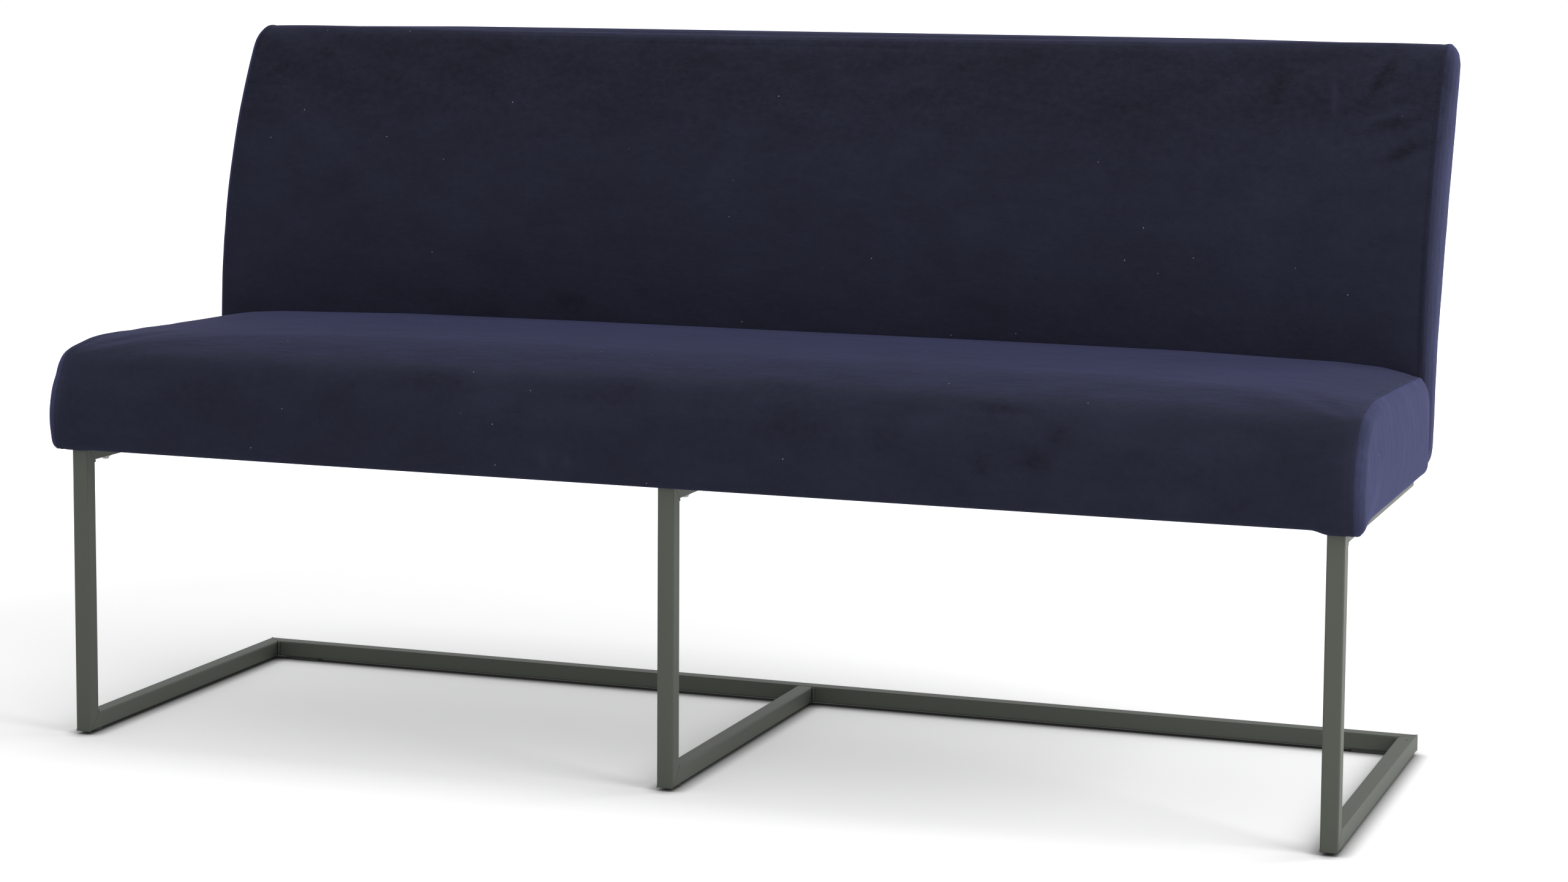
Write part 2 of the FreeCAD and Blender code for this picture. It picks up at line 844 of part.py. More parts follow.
def insertNuts():
    hole = seatBoltDiameter + 2 * threadGap
    return group([
        washer(insertDiameter, hole, insertLength, vector(x, y, railBottom), vector(0, 0, 1))
        for x, y in seatBoltPlaces()
    ])


def backBolts():
    back = vector(0, 1, 0)
    seat = railRear - railThickness - backWasherThickness
    bolts = []
    for x in backBoltPlaces():
        under = vector(x, seat, backBoltLevel)
        head = hexagon(backBoltHead, backBoltHeadHeight, under - back * backBoltHeadHeight, back)
        shank = rod(backBoltDiameter, backBoltLength, under, back)
        bolts.append(head.fuse(shank))
    return group(bolts)


def backWashers():
    front = railRear - railThickness - backWasherThickness
    hole = backBoltDiameter + 2 * threadGap
    back = vector(0, 1, 0)
    return group([
        washer(backWasherDiameter, hole, backWasherThickness, vector(x, front, backBoltLevel), back)
        for x in backBoltPlaces()
    ])


def teeNuts():
    back = vector(0, 1, 0)
    hole = backBoltDiameter + 2 * threadGap
    nuts = []
    for x in backBoltPlaces():
        face = vector(x, uprightFront, backBoltLevel)
        start = face - back * nutBarrelLength
        flange = rod(nutFlange, nutFlangeThickness, face, back)
        barrel = rod(nutBarrel, nutBarrelLength, start, back)
        bore = rod(hole, nutBarrelLength + nutFlangeThickness, start, back)
        nuts.append(flange.fuse(barrel).removeSplitter().cut(bore))
    return group(nuts)


def nodes():
    uprights = [backUpright(x) for x in uprightPlaces()]
    runnerRight = rightRunner()
    seatEnd = seatEndPanel()
    backEnd = backEndPanel()
    endLeft, crossLeft, crossMiddle, crossRight, endRight = crossRailPlaces()
    crossTop = railTop - crossRailDrop
    return {
        "left_leg": leg(-legCentre),
        "centre_leg": leg(0),
        "right_leg": leg(legCentre),
        "left_runner": mirrored(outerRunner()),
        "centre_runner": centreRunner(),
        "right_runner": runnerRight,
        "rear_rail": rearRail(),
        "left_bearer": bearer(-legCentre),
        "centre_bearer": bearer(0),
        "right_bearer": bearer(legCentre),
        "frame_welds": frameWelds(),
        "bearer_plugs": bearerPlugs(),
        "front_glides": frontGlides(),
        "rear_glides": rearGlides(),
        "seat_bolts": seatBolts(),
        "seat_bolt_washers": seatWashers(),
        "seat_insert_nuts": insertNuts(),
        "seat_front_rail": lengthRail(railFront),
        "seat_rear_rail": seatRearRail(),
        "seat_left_rail": crossRail(endLeft, railTop),
        "seat_right_rail": crossRail(endRight, railTop),
        "seat_centre_rail": crossRail(crossMiddle, crossTop),
        "seat_left_cross_rail": crossRail(crossLeft, crossTop),
        "seat_right_cross_rail": crossRail(crossRight, crossTop),
        "seat_corner_blocks": cornerBlocks(),
        "seat_webbing": seatWebbing(),
        "seat_foam": seatFoam(),
        "seat_edge_wrap": seatEdgeWrap(),
        "seat_cover": seatCover(),
        "seat_left_end_panel": mirrored(seatEnd),
        "seat_right_end_panel": seatEnd,
        "seat_dust_cover": dustCover(),
        "back_lower_rail": backLowerRail(),
        "back_top_rail": backTopRail(),
        "back_left_upright": uprights[0],
        "back_left_inner_upright": uprights[1],
        "back_right_inner_upright": uprights[2],
        "back_right_upright": uprights[3],
        "back_webbing": backWebbing(),
        "back_foam": backFoamBlock(),
        "back_rear_padding": backRearPadding(),
        "back_cover": backCover(),
        "back_left_end_panel": mirrored(backEnd),
        "back_right_end_panel": backEnd,
        "back_bolts": backBolts(),
        "back_bolt_washers": backWashers(),
        "back_tee_nuts": teeNuts(),
    }


os.makedirs("parts", exist_ok=True)
pieces = nodes()
whole = group(list(pieces.values())).optimalBoundingBox(False, False)
shift = vector(-whole.Center.x, -whole.Center.y, -whole.ZMin)
print("whole", round(whole.XLength, 2), round(whole.YLength, 2), round(whole.ZLength, 2), "shift", shift)
for name, shape in pieces.items():
    shape.translate(shift)
    shape.exportStep("parts/" + name + ".step")
    print(name, shape.isValid(), len(shape.Solids), round(shape.Volume / 1000, 1), "cm3")
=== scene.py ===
import json
import math
import bmesh
import bpy
import numpy
from mathutils import Matrix, Vector, noise
from mathutils.bvhtree import BVHTree


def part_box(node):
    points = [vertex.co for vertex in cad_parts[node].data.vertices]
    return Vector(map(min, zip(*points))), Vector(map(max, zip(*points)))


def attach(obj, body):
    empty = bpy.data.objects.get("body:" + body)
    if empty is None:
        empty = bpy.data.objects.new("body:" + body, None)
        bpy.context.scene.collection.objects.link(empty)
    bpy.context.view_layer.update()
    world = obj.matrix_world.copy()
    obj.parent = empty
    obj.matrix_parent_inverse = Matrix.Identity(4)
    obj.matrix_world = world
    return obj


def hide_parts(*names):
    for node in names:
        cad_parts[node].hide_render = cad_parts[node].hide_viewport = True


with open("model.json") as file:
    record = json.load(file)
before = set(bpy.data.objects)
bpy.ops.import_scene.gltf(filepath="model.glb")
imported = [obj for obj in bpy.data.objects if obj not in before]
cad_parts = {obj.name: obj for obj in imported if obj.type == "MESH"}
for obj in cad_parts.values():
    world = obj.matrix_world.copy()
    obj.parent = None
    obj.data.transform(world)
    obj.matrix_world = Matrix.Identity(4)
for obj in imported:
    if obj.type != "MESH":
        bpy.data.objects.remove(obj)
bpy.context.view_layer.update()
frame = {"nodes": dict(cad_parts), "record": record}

nodes = frame["nodes"]
mm = 0.001


# Small helpers

def srgb(red, green, blue):
    def linear(value):
        value /= 255
        return value / 12.92 if value <= 0.04045 else ((value + 0.055) / 1.055) ** 2.4
    return (linear(red), linear(green), linear(blue), 1.0)


def newObject(name, data):
    made = bpy.data.objects.new(name, data)
    bpy.context.scene.collection.objects.link(made)
    return made


def applied(thing):
    # a plain mesh object takes the place of an object and its modifiers
    view = bpy.context.evaluated_depsgraph_get()
    mesh = bpy.data.meshes.new_from_object(thing.evaluated_get(view))
    name = thing.name
    bpy.data.objects.remove(thing)
    return newObject(name, mesh)


def finished(thing, look):
    # smooth faces in one material, on the only body
    thing.data.materials.clear()
    thing.data.materials.append(look)
    thing.data.polygons.foreach_set("use_smooth", [True] * len(thing.data.polygons))
    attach(thing, "root")
    return thing


def skinTree(names):
    joined = bmesh.new()
    for name in names:
        joined.from_mesh(nodes[name].data)
    tree = BVHTree.FromBMesh(joined)
    joined.free()
    return tree


def boxOf(names):
    low, high = Vector((9, 9, 9)), Vector((-9, -9, -9))
    for name in names:
        for vertex in nodes[name].data.vertices:
            low = Vector(map(min, low, vertex.co))
            high = Vector(map(max, high, vertex.co))
    return low, high


# Materials

def newMaterial(name):
    material = bpy.data.materials.new(name)
    material.use_nodes = True
    return material, material.node_tree, material.node_tree.nodes["Principled BSDF"]


def addNode(tree, kind, **values):
    made = tree.nodes.new(kind)
    for key, value in values.items():
        setattr(made, key, value)
    return made


def mathNode(tree, operation, first, second, third=None):
    # a maths node whose inputs are numbers or sockets
    made = addNode(tree, "ShaderNodeMath", operation=operation)
    for socket, value in zip(made.inputs, (first, second, third)):
        if isinstance(value, bpy.types.NodeSocket):
            tree.links.new(value, socket)
        elif value is not None:
            socket.default_value = value
    return made.outputs[0]


def noiseNode(tree, place, size, detail=2.0, stretch=None):
    # noise whose features are about one size in metres, longer along an axis where stretched
    if stretch:
        mapping = addNode(tree, "ShaderNodeMapping")
        mapping.inputs["Scale"].default_value = [1 / value for value in stretch]
        tree.links.new(place, mapping.inputs["Vector"])
        place = mapping.outputs["Vector"]
    made = addNode(tree, "ShaderNodeTexNoise")
    made.inputs["Detail"].default_value = detail
    made.inputs["Roughness"].default_value = 0.6
    if isinstance(size, bpy.types.NodeSocket):
        tree.links.new(mathNode(tree, "DIVIDE", 1.0, size), made.inputs["Scale"])
    else:
        made.inputs["Scale"].default_value = 1 / size
    tree.links.new(place, made.inputs["Vector"])
    return made.outputs["Fac"]


def newGroup(name, inputs, outputs):
    group = bpy.data.node_groups.new(name, "ShaderNodeTree")
    for label, kind, value in inputs:
        socket = group.interface.new_socket(label, in_out="INPUT", socket_type="NodeSocket" + kind)
        socket.default_value = value
    for label, kind in outputs:
        group.interface.new_socket(label, in_out="OUTPUT", socket_type="NodeSocket" + kind)
    return group, group.nodes.new("NodeGroupInput"), group.nodes.new("NodeGroupOutput")


def unevenFinish():
    # a colour that drifts from place to place, and the height of a fine grain
    group, start, end = newGroup(
        "unevenFinish",
        [("Colour", "Color", (0.5, 0.5, 0.5, 1.0)), ("Patch Size", "Float", 0.1),
         ("Grain Size", "Float", 0.001), ("Contrast", "Float", 0.2)],
        [("Colour", "Color"), ("Grain", "Float")],
    )
    place = addNode(group, "ShaderNodeTexCoord").outputs["Object"]
    patches = noiseNode(group, place, start.outputs["Patch Size"], 3.0)
    drift = mathNode(group, "SUBTRACT", patches, 0.5)
    shade = mathNode(group, "MULTIPLY_ADD", drift, start.outputs["Contrast"], 1.0)
    tint = addNode(group, "ShaderNodeVectorMath", operation="SCALE")
    group.links.new(start.outputs["Colour"], tint.inputs[0])
    group.links.new(shade, tint.inputs["Scale"])
    group.links.new(tint.outputs["Vector"], end.inputs["Colour"])
    group.links.new(noiseNode(group, place, start.outputs["Grain Size"]), end.inputs["Grain"])
    return group


markShape = {"depth": 0.06, "falloff": 1.6, "raggedness": 1.2}


def napAndPaintedLightMark():
    # a soft oval, 1 at its middle: a patch of brushed pile, and in some places painted shade and painted
    # highlight
    group, start, end = newGroup(
        "napAndPaintedLightMark",
        [("Centre", "Vector", (0.0, 0.0, 0.0)), ("Width", "Float", 0.05), ("Height", "Float", 0.05),
         ("Turn", "Float", 0.0), ("Wobble", "Float", 0.0)],
        [("Mask", "Float")],
    )
    place = addNode(group, "ShaderNodeTexCoord").outputs["Object"]
    away = addNode(group, "ShaderNodeVectorMath", operation="SUBTRACT")
    group.links.new(place, away.inputs[0])
    group.links.new(start.outputs["Centre"], away.inputs[1])
    turned = addNode(group, "ShaderNodeVectorRotate", rotation_type="Y_AXIS")
    group.links.new(away.outputs[0], turned.inputs["Vector"])
    group.links.new(start.outputs["Turn"], turned.inputs["Angle"])
    parts = addNode(group, "ShaderNodeSeparateXYZ")
    group.links.new(turned.outputs[0], parts.inputs[0])
    across = mathNode(group, "DIVIDE", parts.outputs["X"], start.outputs["Width"])
    up = mathNode(group, "DIVIDE", parts.outputs["Z"], start.outputs["Height"])
    deep = mathNode(group, "DIVIDE", parts.outputs["Y"], markShape["depth"])
    square = mathNode(group, "MULTIPLY_ADD", across, across, mathNode(group, "MULTIPLY", up, up))
    square = mathNode(group, "MULTIPLY_ADD", deep, deep, square)
    edge = mathNode(group, "ADD", square, start.outputs["Wobble"])
    steep = mathNode(group, "MULTIPLY", edge, -markShape["falloff"])
    fade = mathNode(group, "EXPONENT", steep, 0.0)
    group.links.new(mathNode(group, "MINIMUM", fade, 1.0), end.inputs["Mask"])
    return group


groups = {"unevenFinish": unevenFinish(), "napAndPaintedLightMark": napAndPaintedLightMark()}


def groupNode(tree, name, **values):
    made = addNode(tree, "ShaderNodeGroup", node_tree=groups[name])
    for label, value in values.items():
        made.inputs[label.replace("_", " ")].default_value = value
    return made


constantSockets = {  # what is the same all over a material, with its usual value
    "roughness": ("Roughness", 0.5), "metallic": ("Metallic", 0.0),
    "specular": ("Specular IOR Level", 0.5), "sheen": ("Sheen Weight", 0.0),
    "sheenRoughness": ("Sheen Roughness", 0.5), "sheenTint": ("Sheen Tint", (1.0, 1.0, 1.0, 1.0)),
}


def constants(shader, look):
    for key, (label, usual) in constantSockets.items():
        shader.inputs[label].default_value = look.get(key, usual)


def bumped(tree, shader, height, strength, distance, under=None):
    bump = addNode(tree, "ShaderNodeBump")
    bump.inputs["Strength"].default_value = strength
    bump.inputs["Distance"].default_value = distance
    tree.links.new(height, bump.inputs["Height"])
    if under:
        tree.links.new(under, bump.inputs["Normal"])
    tree.links.new(bump.outputs["Normal"], shader.inputs["Normal"])
    return bump.outputs["Normal"]


def plainFinish(name, look):
    material, tree, shader = newMaterial(name)
    finish = groupNode(
        tree, "unevenFinish", Colour=look["colour"], Patch_Size=look["patchSize"],
        Grain_Size=look["grainSize"], Contrast=look["contrast"],
    )
    tree.links.new(finish.outputs["Colour"], shader.inputs["Base Color"])
    bumped(tree, shader, finish.outputs["Grain"], look["grain"], look["grainSize"])
    constants(shader, look)
    return material


velvetLook = {
    "colour": srgb(30, 32, 46), "patchSize": 0.16, "contrast": 0.45,
    "pileSize": 0.0011, "pile": 0.35, "roughness": 0.9, "specular": 0.12,
    "sheen": 0.11, "sheenRoughness": 0.4, "sheenTint": srgb(158, 162, 250),
    "brushed": 0.55, "brushSize": 0.034, "brushStretch": (1.8, 1.0, 1.0),  # broad patches of brushed pile
    "mottled": 0.34, "mottleSize": 0.0075, "mottleStretch": (1.3, 1.0, 1.0),
    "woven": 0.42, "weaveSize": 0.0021, "weaveStretch": (1.4, 1.0, 1.0),
    "brushTilt": 0.3, "brushDepth": 6 * mm,  # how far the brushed pile tips the light
    "lintCell": 0.021, "lintSize": 0.0006, "lintShare": 0.35, "lintColour": srgb(150, 152, 165),
}
napAndPaintedLightMarks = [  # patches of brushed pile, and painted shade and painted highlights where noted: centre, half width, half height, turn in degrees, how much lighter or darker
    ((0.590, 0.211, 0.799), 0.028, 0.016, 60, -0.30),
    ((0.660, 0.203, 0.784), 0.005, 0.025, 3, 0.45),
    ((0.717, 0.222, 0.818), 0.031, 0.008, 60, -0.34),
    ((0.737, 0.191, 0.759), 0.045, 0.007, 15, -0.32),
    ((0.748, 0.177, 0.726), 0.039, 0.009, 24, -0.40),
    ((0.695, 0.202, 0.782), 0.011, 0.007, 20, -0.18),
    ((-0.746, 0.205, 0.788), 0.021, 0.028, 0, -0.14),
    ((-0.347, 0.172, 0.720), 0.028, 0.009, 4, -0.20),
    ((-0.329, 0.219, 0.813), 0.018, 0.008, 0, -0.14),
    ((-0.293, 0.126, 0.513), 0.033, 0.013, 4, -0.24),
    ((0.237, 0.141, 0.620), 0.041, 0.027, 0, 0.13),
    ((0.196, 0.218, 0.812), 0.013, 0.009, 30, -0.18),
    ((-0.667, 0.218, 0.811), 0.026, 0.010, 0, -0.12),
    ((0.143, 0.210, 0.797), 0.105, 0.015, 2, 0.10),
    ((-0.619, 0.149, 0.649), 0.060, 0.032, 0, -0.08),
    ((0.541, 0.159, 0.684), 0.062, 0.044, 0, -0.08),
    ((-0.027, 0.131, 0.562), 0.097, 0.038, 0, 0.07),
    ((0.634, 0.139, 0.602), 0.070, 0.036, 0, 0.06),
    ((0.376, -0.290, 0.405), 0.014, 0.015, 0, -0.36),
    ((0.439, -0.289, 0.409), 0.018, 0.015, 0, -0.36),
    ((-0.297, -0.265, 0.460), 0.053, 0.014, 3, -0.26),
    ((-0.401, -0.280, 0.434), 0.046, 0.019, 0, -0.18),
    ((0.153, -0.280, 0.435), 0.046, 0.023, 0, -0.22),
    ((0.381, -0.263, 0.463), 0.050, 0.007, -4, -0.34),
    ((0.263, -0.286, 0.420), 0.029, 0.019, 0, -0.20),
    ((-0.058, -0.268, 0.457), 0.041, 0.017, 0, -0.18),
    ((-0.570, -0.281, 0.432), 0.070, 0.025, 0, -0.12),
    ((0.462, -0.278, 0.437), 0.021, 0.015, -30, -0.25),
    ((0.549, -0.285, 0.422), 0.017, 0.008, 0, -0.16),
    ((0.716, -0.282, 0.429), 0.021, 0.008, 0, -0.12),
    ((0.747, -0.271, 0.450), 0.006, 0.017, 0, -0.12),
    ((-0.143, -0.290, 0.379), 0.007, 0.017, 12, 0.24),
    ((-0.113, -0.290, 0.375), 0.006, 0.014, 14, 0.20),
    ((0.077, -0.290, 0.378), 0.044, 0.010, 0, 0.12),
    ((-0.186, -0.289, 0.411), 0.045, 0.015, 0, -0.14),
    ((0.614, -0.290, 0.403), 0.035, 0.017, 0, -0.10),
    ((0.301, -0.275, 0.443), 0.033, 0.012, 10, 0.14),
    ((0.087, -0.180, 0.489), 0.112, 0.006, -3, -0.20),
    ((-0.177, -0.188, 0.488), 0.091, 0.005, -3, -0.12),
    ((0.132, -0.252, 0.472), 0.069, 0.009, -3, -0.30),
    ((0.0, 0.21, 0.83), 2.2, 0.19, 0, -0.36),  # painted shade: the back's whole top made darker, against the light from above
    ((0.792, -0.27, 0.42), 0.02, 0.06, 0, 0.9),  # painted highlight: a lighter band beside the front seams at the seat's ends
    ((-0.792, -0.27, 0.42), 0.02, 0.06, 0, 0.9),
]
paintedLitEndVelvetLook = dict(  # the end panels, whose pile runs across, get a lighter and bluer copy of the velvet; its lighter colour is painted light, standing in for the light from the right side
    velvetLook, colour=srgb(38, 40, 60), sheen=0.23,
    brushStretch=(1.0, 1.0, 2.4), mottleStretch=(1.0, 1.0, 1.6),
)


def unevenness(tree, place, look, kind, detail):
    # noise about zero, from the look's size and stretch of that kind
    made = noiseNode(tree, place, look[kind + "Size"], detail, look[kind + "Stretch"])
    return made, mathNode(tree, "SUBTRACT", made, 0.5)


def velvetFinish(name, look):
    material, tree, shader = newMaterial(name)
    place = addNode(tree, "ShaderNodeTexCoord").outputs["Object"]
    finish = groupNode(
        tree, "unevenFinish", Colour=look["colour"], Patch_Size=look["patchSize"],
        Grain_Size=look["pileSize"], Contrast=look["contrast"],
    )
    brushed, brush = unevenness(tree, place, look, "brush", 4.0)
    shade = mathNode(tree, "MULTIPLY_ADD", brush, look["brushed"], 1.0)
    mottle = unevenness(tree, place, look, "mottle", 3.0)[1]
    shade = mathNode(tree, "MULTIPLY_ADD", mottle, look["mottled"], shade)
    weave = unevenness(tree, place, look, "weave", 2.0)[1]
    shade = mathNode(tree, "MULTIPLY_ADD", weave, look["woven"], shade)
    wobble = mathNode(tree, "MULTIPLY", mottle, markShape["raggedness"])
    for centre, width, height, turn, change in napAndPaintedLightMarks:
        mark = groupNode(
            tree, "napAndPaintedLightMark", Centre=centre, Width=width, Height=height, Turn=math.radians(turn),
        )
        tree.links.new(wobble, mark.inputs["Wobble"])
        shade = mathNode(tree, "MULTIPLY_ADD", mark.outputs["Mask"], change, shade)
    tint = addNode(tree, "ShaderNodeVectorMath", operation="SCALE")
    tree.links.new(finish.outputs["Colour"], tint.inputs[0])
    tree.links.new(shade, tint.inputs["Scale"])
    cells = addNode(tree, "ShaderNodeTexVoronoi")
    cells.inputs["Scale"].default_value = 1 / look["lintCell"]
    tree.links.new(place, cells.inputs["Vector"])
    near = mathNode(tree, "LESS_THAN", cells.outputs["Distance"], look["lintSize"] / look["lintCell"])
    chance = addNode(tree, "ShaderNodeSeparateColor")
    tree.links.new(cells.outputs["Color"], chance.inputs[0])
    some = mathNode(tree, "LESS_THAN", chance.outputs[0], look["lintShare"])
    lint = addNode(tree, "ShaderNodeMix", data_type="RGBA")
    tree.links.new(mathNode(tree, "MULTIPLY", near, some), lint.inputs[0])
    tree.links.new(tint.outputs["Vector"], lint.inputs[6])
    lint.inputs[7].default_value = look["lintColour"]
    tree.links.new(lint.outputs[2], shader.inputs["Base Color"])
    broad = bumped(tree, shader, brushed, look["brushTilt"], look["brushDepth"])
    bumped(tree, shader, finish.outputs["Grain"], look["pile"], look["pileSize"], broad)
    constants(shader, look)
    return material


looks = {
    "velvet": velvetFinish("navyVelvet", velvetLook),
    "paintedLitEndVelvet": velvetFinish("navyPaintedLitEndVelvet", paintedLitEndVelvetLook),
    "thread": plainFinish("navyThread", {
        "colour": srgb(30, 32, 48), "patchSize": 0.02, "grainSize": 0.0006, "contrast": 0.3,
        "grain": 0.3, "roughness": 0.75, "specular": 0.15, "sheen": 0.05,
    }),
    "coat": plainFinish("greyPowderCoat", {
        "colour": srgb(70, 74, 66), "patchSize": 0.2, "grainSize": 0.0007, "contrast": 0.08,
        "grain": 0.12, "roughness": 0.52, "specular": 0.3,
    }),
    "joint": plainFinish("coatedJoint", {
        "colour": srgb(58, 62, 55), "patchSize": 0.01, "grainSize": 0.0007, "contrast": 0.2,
        "grain": 0.2, "roughness": 0.55, "specular": 0.4,
    }),
    "plastic": plainFinish("blackPlastic", {
        "colour": srgb(38, 38, 38), "patchSize": 0.02, "grainSize": 0.0005, "contrast": 0.1,
        "grain": 0.1, "roughness": 0.5,
    }),
    "dustCloth": plainFinish("blackDustCloth", {
        "colour": srgb(24, 24, 25), "patchSize": 0.03, "grainSize": 0.0014, "contrast": 0.4,
        "grain": 0.5, "roughness": 0.9, "specular": 0.1,
    }),
    "zinc": plainFinish("zincPlate", {
        "colour": srgb(176, 178, 180), "patchSize": 0.006, "grainSize": 0.0004, "contrast": 0.15,
        "grain": 0.1, "roughness": 0.35, "metallic": 1.0,
    }),
    "timber": plainFinish("bareTimber", {
        "colour": srgb(205, 176, 132), "patchSize": 0.03, "grainSize": 0.002, "contrast": 0.25,
        "grain": 0.2, "roughness": 0.7,
    }),
    "foam": plainFinish("cutFoam", {
        "colour": srgb(238, 233, 214), "patchSize": 0.04, "grainSize": 0.0015, "contrast": 0.08,
        "grain": 0.6, "roughness": 0.95,
    }),
    "webbing": plainFinish("elasticWebbing", {
        "colour": srgb(60, 60, 62), "patchSize": 0.01, "grainSize": 0.0012, "contrast": 0.4,
        "grain": 0.5, "roughness": 0.85,
    }),
}
slotLooks = {
    "velvet": "velvet", "frame_coat": "coat", "black_plastic": "plastic", "dust_cloth": "dustCloth",
    "zinc_steel": "zinc", "timber": "timber", "foam": "foam", "webbing": "webbing",
}
for part in frame["record"]["subparts"]:
    slots = nodes[part["node"]].data.materials
    slots.clear()
    slots.append(looks[slotLooks[part["material_slot"]]])
print("materials made")


# Cushions: a net of quads is laid on the CAD skin, swollen as cloth, and given its seams and creases

seatCushion = {
    "name": "seatCushion",
    "nodes": ["seat_cover", "seat_left_end_panel", "seat_right_end_panel"],
    "under": ["seat_dust_cover"],
    "inside": ["seat_foam", "seat_edge_wrap"],
    "longCells": 30, "shortCells": 26,
    "broadStep": 16 * mm, "endStep": 9 * mm, "endReach": 150 * mm,
    "edgeInset": 7.5 * mm,  # from the end's outermost point to the last ring round the cushion
    "startInset": 3 * mm, "pressure": 4.0, "slack": 0.004, "bending": 1.0,
    "evening": 60, "foldGain": 0.35, "mostOut": 1.2 * mm, "mostIn": 0.9 * mm,
    "creases": [], "softening": 5, "droop": 4.5 * mm,
}
backCushion = {
    "name": "backCushion",
    "nodes": ["back_cover", "back_left_end_panel", "back_right_end_panel"],
    "under": [],
    "inside": ["back_foam", "back_rear_padding"],
    "longCells": 42, "shortCells": 18,
    "broadStep": 16 * mm, "endStep": 8 * mm, "endReach": 170 * mm,
    "edgeInset": 4.5 * mm,
    "startInset": 3 * mm, "pressure": 2.0, "slack": 0.008, "bending": 1.0,
    "evening": 60, "foldGain": 0.7, "mostOut": 2.0 * mm, "mostIn": 1.5 * mm,
    "creases": [  # from and to as X and Z on the front, depth, half width
        ((722, 850), (676, 792), 1.5, 9), ((764, 788), (668, 757), 1.7, 9),
        ((762, 757), (690, 724), 1.5, 9), ((768, 822), (716, 800), 0.9, 8),
        ((-768, 806), (-712, 782), 0.9, 9), ((-764, 760), (-700, 742), 0.7, 9),
        ((770, 560), (716, 548), 0.7, 9), ((-770, 640), (-722, 630), 0.5, 9),
    ],
    "softening": 0, "droop": 0.0,
}
stitching = {
    "fromSeam": 7 * mm, "pitch": 6 * mm, "length": 4.0 * mm, "thickness": 0.7 * mm,
    "pullDepth": 0.35 * mm, "pullHalfWidth": 2.0 * mm, "pointsPerSide": 90,
}
seams = {
    "depth": 0.35 * mm, "halfWidth": 2.0 * mm,
    "pucker": 0.6 * mm, "puckerSize": 30 * mm, "puckerReach": 14 * mm,
}


def raysBetween(start, end, startDegrees, endDegrees):
    # rays whose root moves along a line while they turn: place and outward direction in the YZ plane
    def ray(share):
        angle = math.radians(startDegrees + share * (endDegrees - startDegrees))
        y = start[0] + share * (end[0] - start[0])
        z = start[1] + share * (end[1] - start[1])
        return y, z, math.cos(angle), math.sin(angle)
    return ray


def seatSides(low, high):
    middle, half = (low.z + high.z) / 2, (high.z - low.z) / 2
    front, rear = (low.y + half, middle), (high.y - half, middle)
    return [
        raysBetween(rear, front, 45, 135), raysBetween(front, front, 135, 225),
        raysBetween(front, rear, 225, 315), raysBetween(rear, rear, -45, 45),
    ]


backRoots = {"foot": (30 * mm, 30 * mm), "top": (42 * mm, 38 * mm)}  # Y and Z in from the box's corners


def backSides(low, high):
    foot = (low.y + backRoots["foot"][0], low.z + backRoots["foot"][1])
    top = (high.y - backRoots["top"][0], high.z - backRoots["top"][1])
    return [
        raysBetween(foot, top, 225, 135), raysBetween(top, top, 135, 45),
        raysBetween(top, foot, 45, -45), raysBetween(foot, foot, -45, -135),
    ]


def skinPoint(tree, x, ray):
    y, z, alongY, alongZ = ray
    away = Vector((0, alongY, alongZ))
    hit = tree.ray_cast(Vector((x, y, z)) + away * 0.6, -away)[0]
    return hit or tree.find_nearest(Vector((x, y, z)) + away * 0.05)[0]


raySpacing = {
    "samples": 600, "window": 8, "place": 110 * mm,  # where along X the skin is sampled
    "turnStep": math.radians(14), "cornerReach": 10 * mm,
}


def evenRays(tree, side, cells):
    # rays spread evenly along the skin near the bench's middle, and closer where it turns
    fine, window = raySpacing["samples"], raySpacing["window"]
    rays = [side(index / fine) for index in range(fine + 1)]
    points = [skinPoint(tree, raySpacing["place"], ray) for ray in rays]
    lengths = [(second - first).length for first, second in zip(points, points[1:])]
    whole, passed, weights = sum(lengths), 0.0, []
    for index, step in enumerate(lengths):
        turn = 0.0
        if window <= index < fine - window:
            before = points[index] - points[index - window]
            after = points[index + window] - points[index]
            turn = before.angle(after, 0.0) / window
        passed += step
        corner = math.exp(-min(passed, whole - passed) / raySpacing["cornerReach"])
        weights.append((1 + corner) * step * cells / whole + turn / raySpacing["turnStep"])
    total, passed, chosen = sum(weights), 0.0, [rays[0]]
    for index, weight in enumerate(weights):
        passed += weight
        if passed >= total * len(chosen) / cells - 1e-9 and len(chosen) < cells:
            chosen.append(rays[index + 1])
    return chosen


closeStations = {
    "clear": 6 * mm,  # from the last even step to the stitches
    "stitch": (-2.5 * mm, 0, 2.5 * mm), "beforeSeam": 1.8 * mm,
    "beyondSeam": (0.16, 0.36, 0.56, 0.74, 0.88, 1.0),
}


def stations(cushion, seam, last):
    # places along X: even steps, shorter near the ends, and close ones at the stitches, seam and edge
    stitch = seam - stitching["fromSeam"]
    broad = stitch - cushion["endReach"]
    count = round(broad / cushion["broadStep"])
    places = [broad * index / count for index in range(count)]
    clear = closeStations["clear"]
    count = round((cushion["endReach"] - clear) / cushion["endStep"])
    places += [broad + (stitch - clear - broad) * index / count for index in range(count + 1)]
    places += [stitch + offset for offset in closeStations["stitch"]]
    places += [seam - closeStations["beforeSeam"], seam]
    places += [seam + (last - seam) * share for share in closeStations["beyondSeam"]]
    return [-place for place in reversed(places[1:])] + places


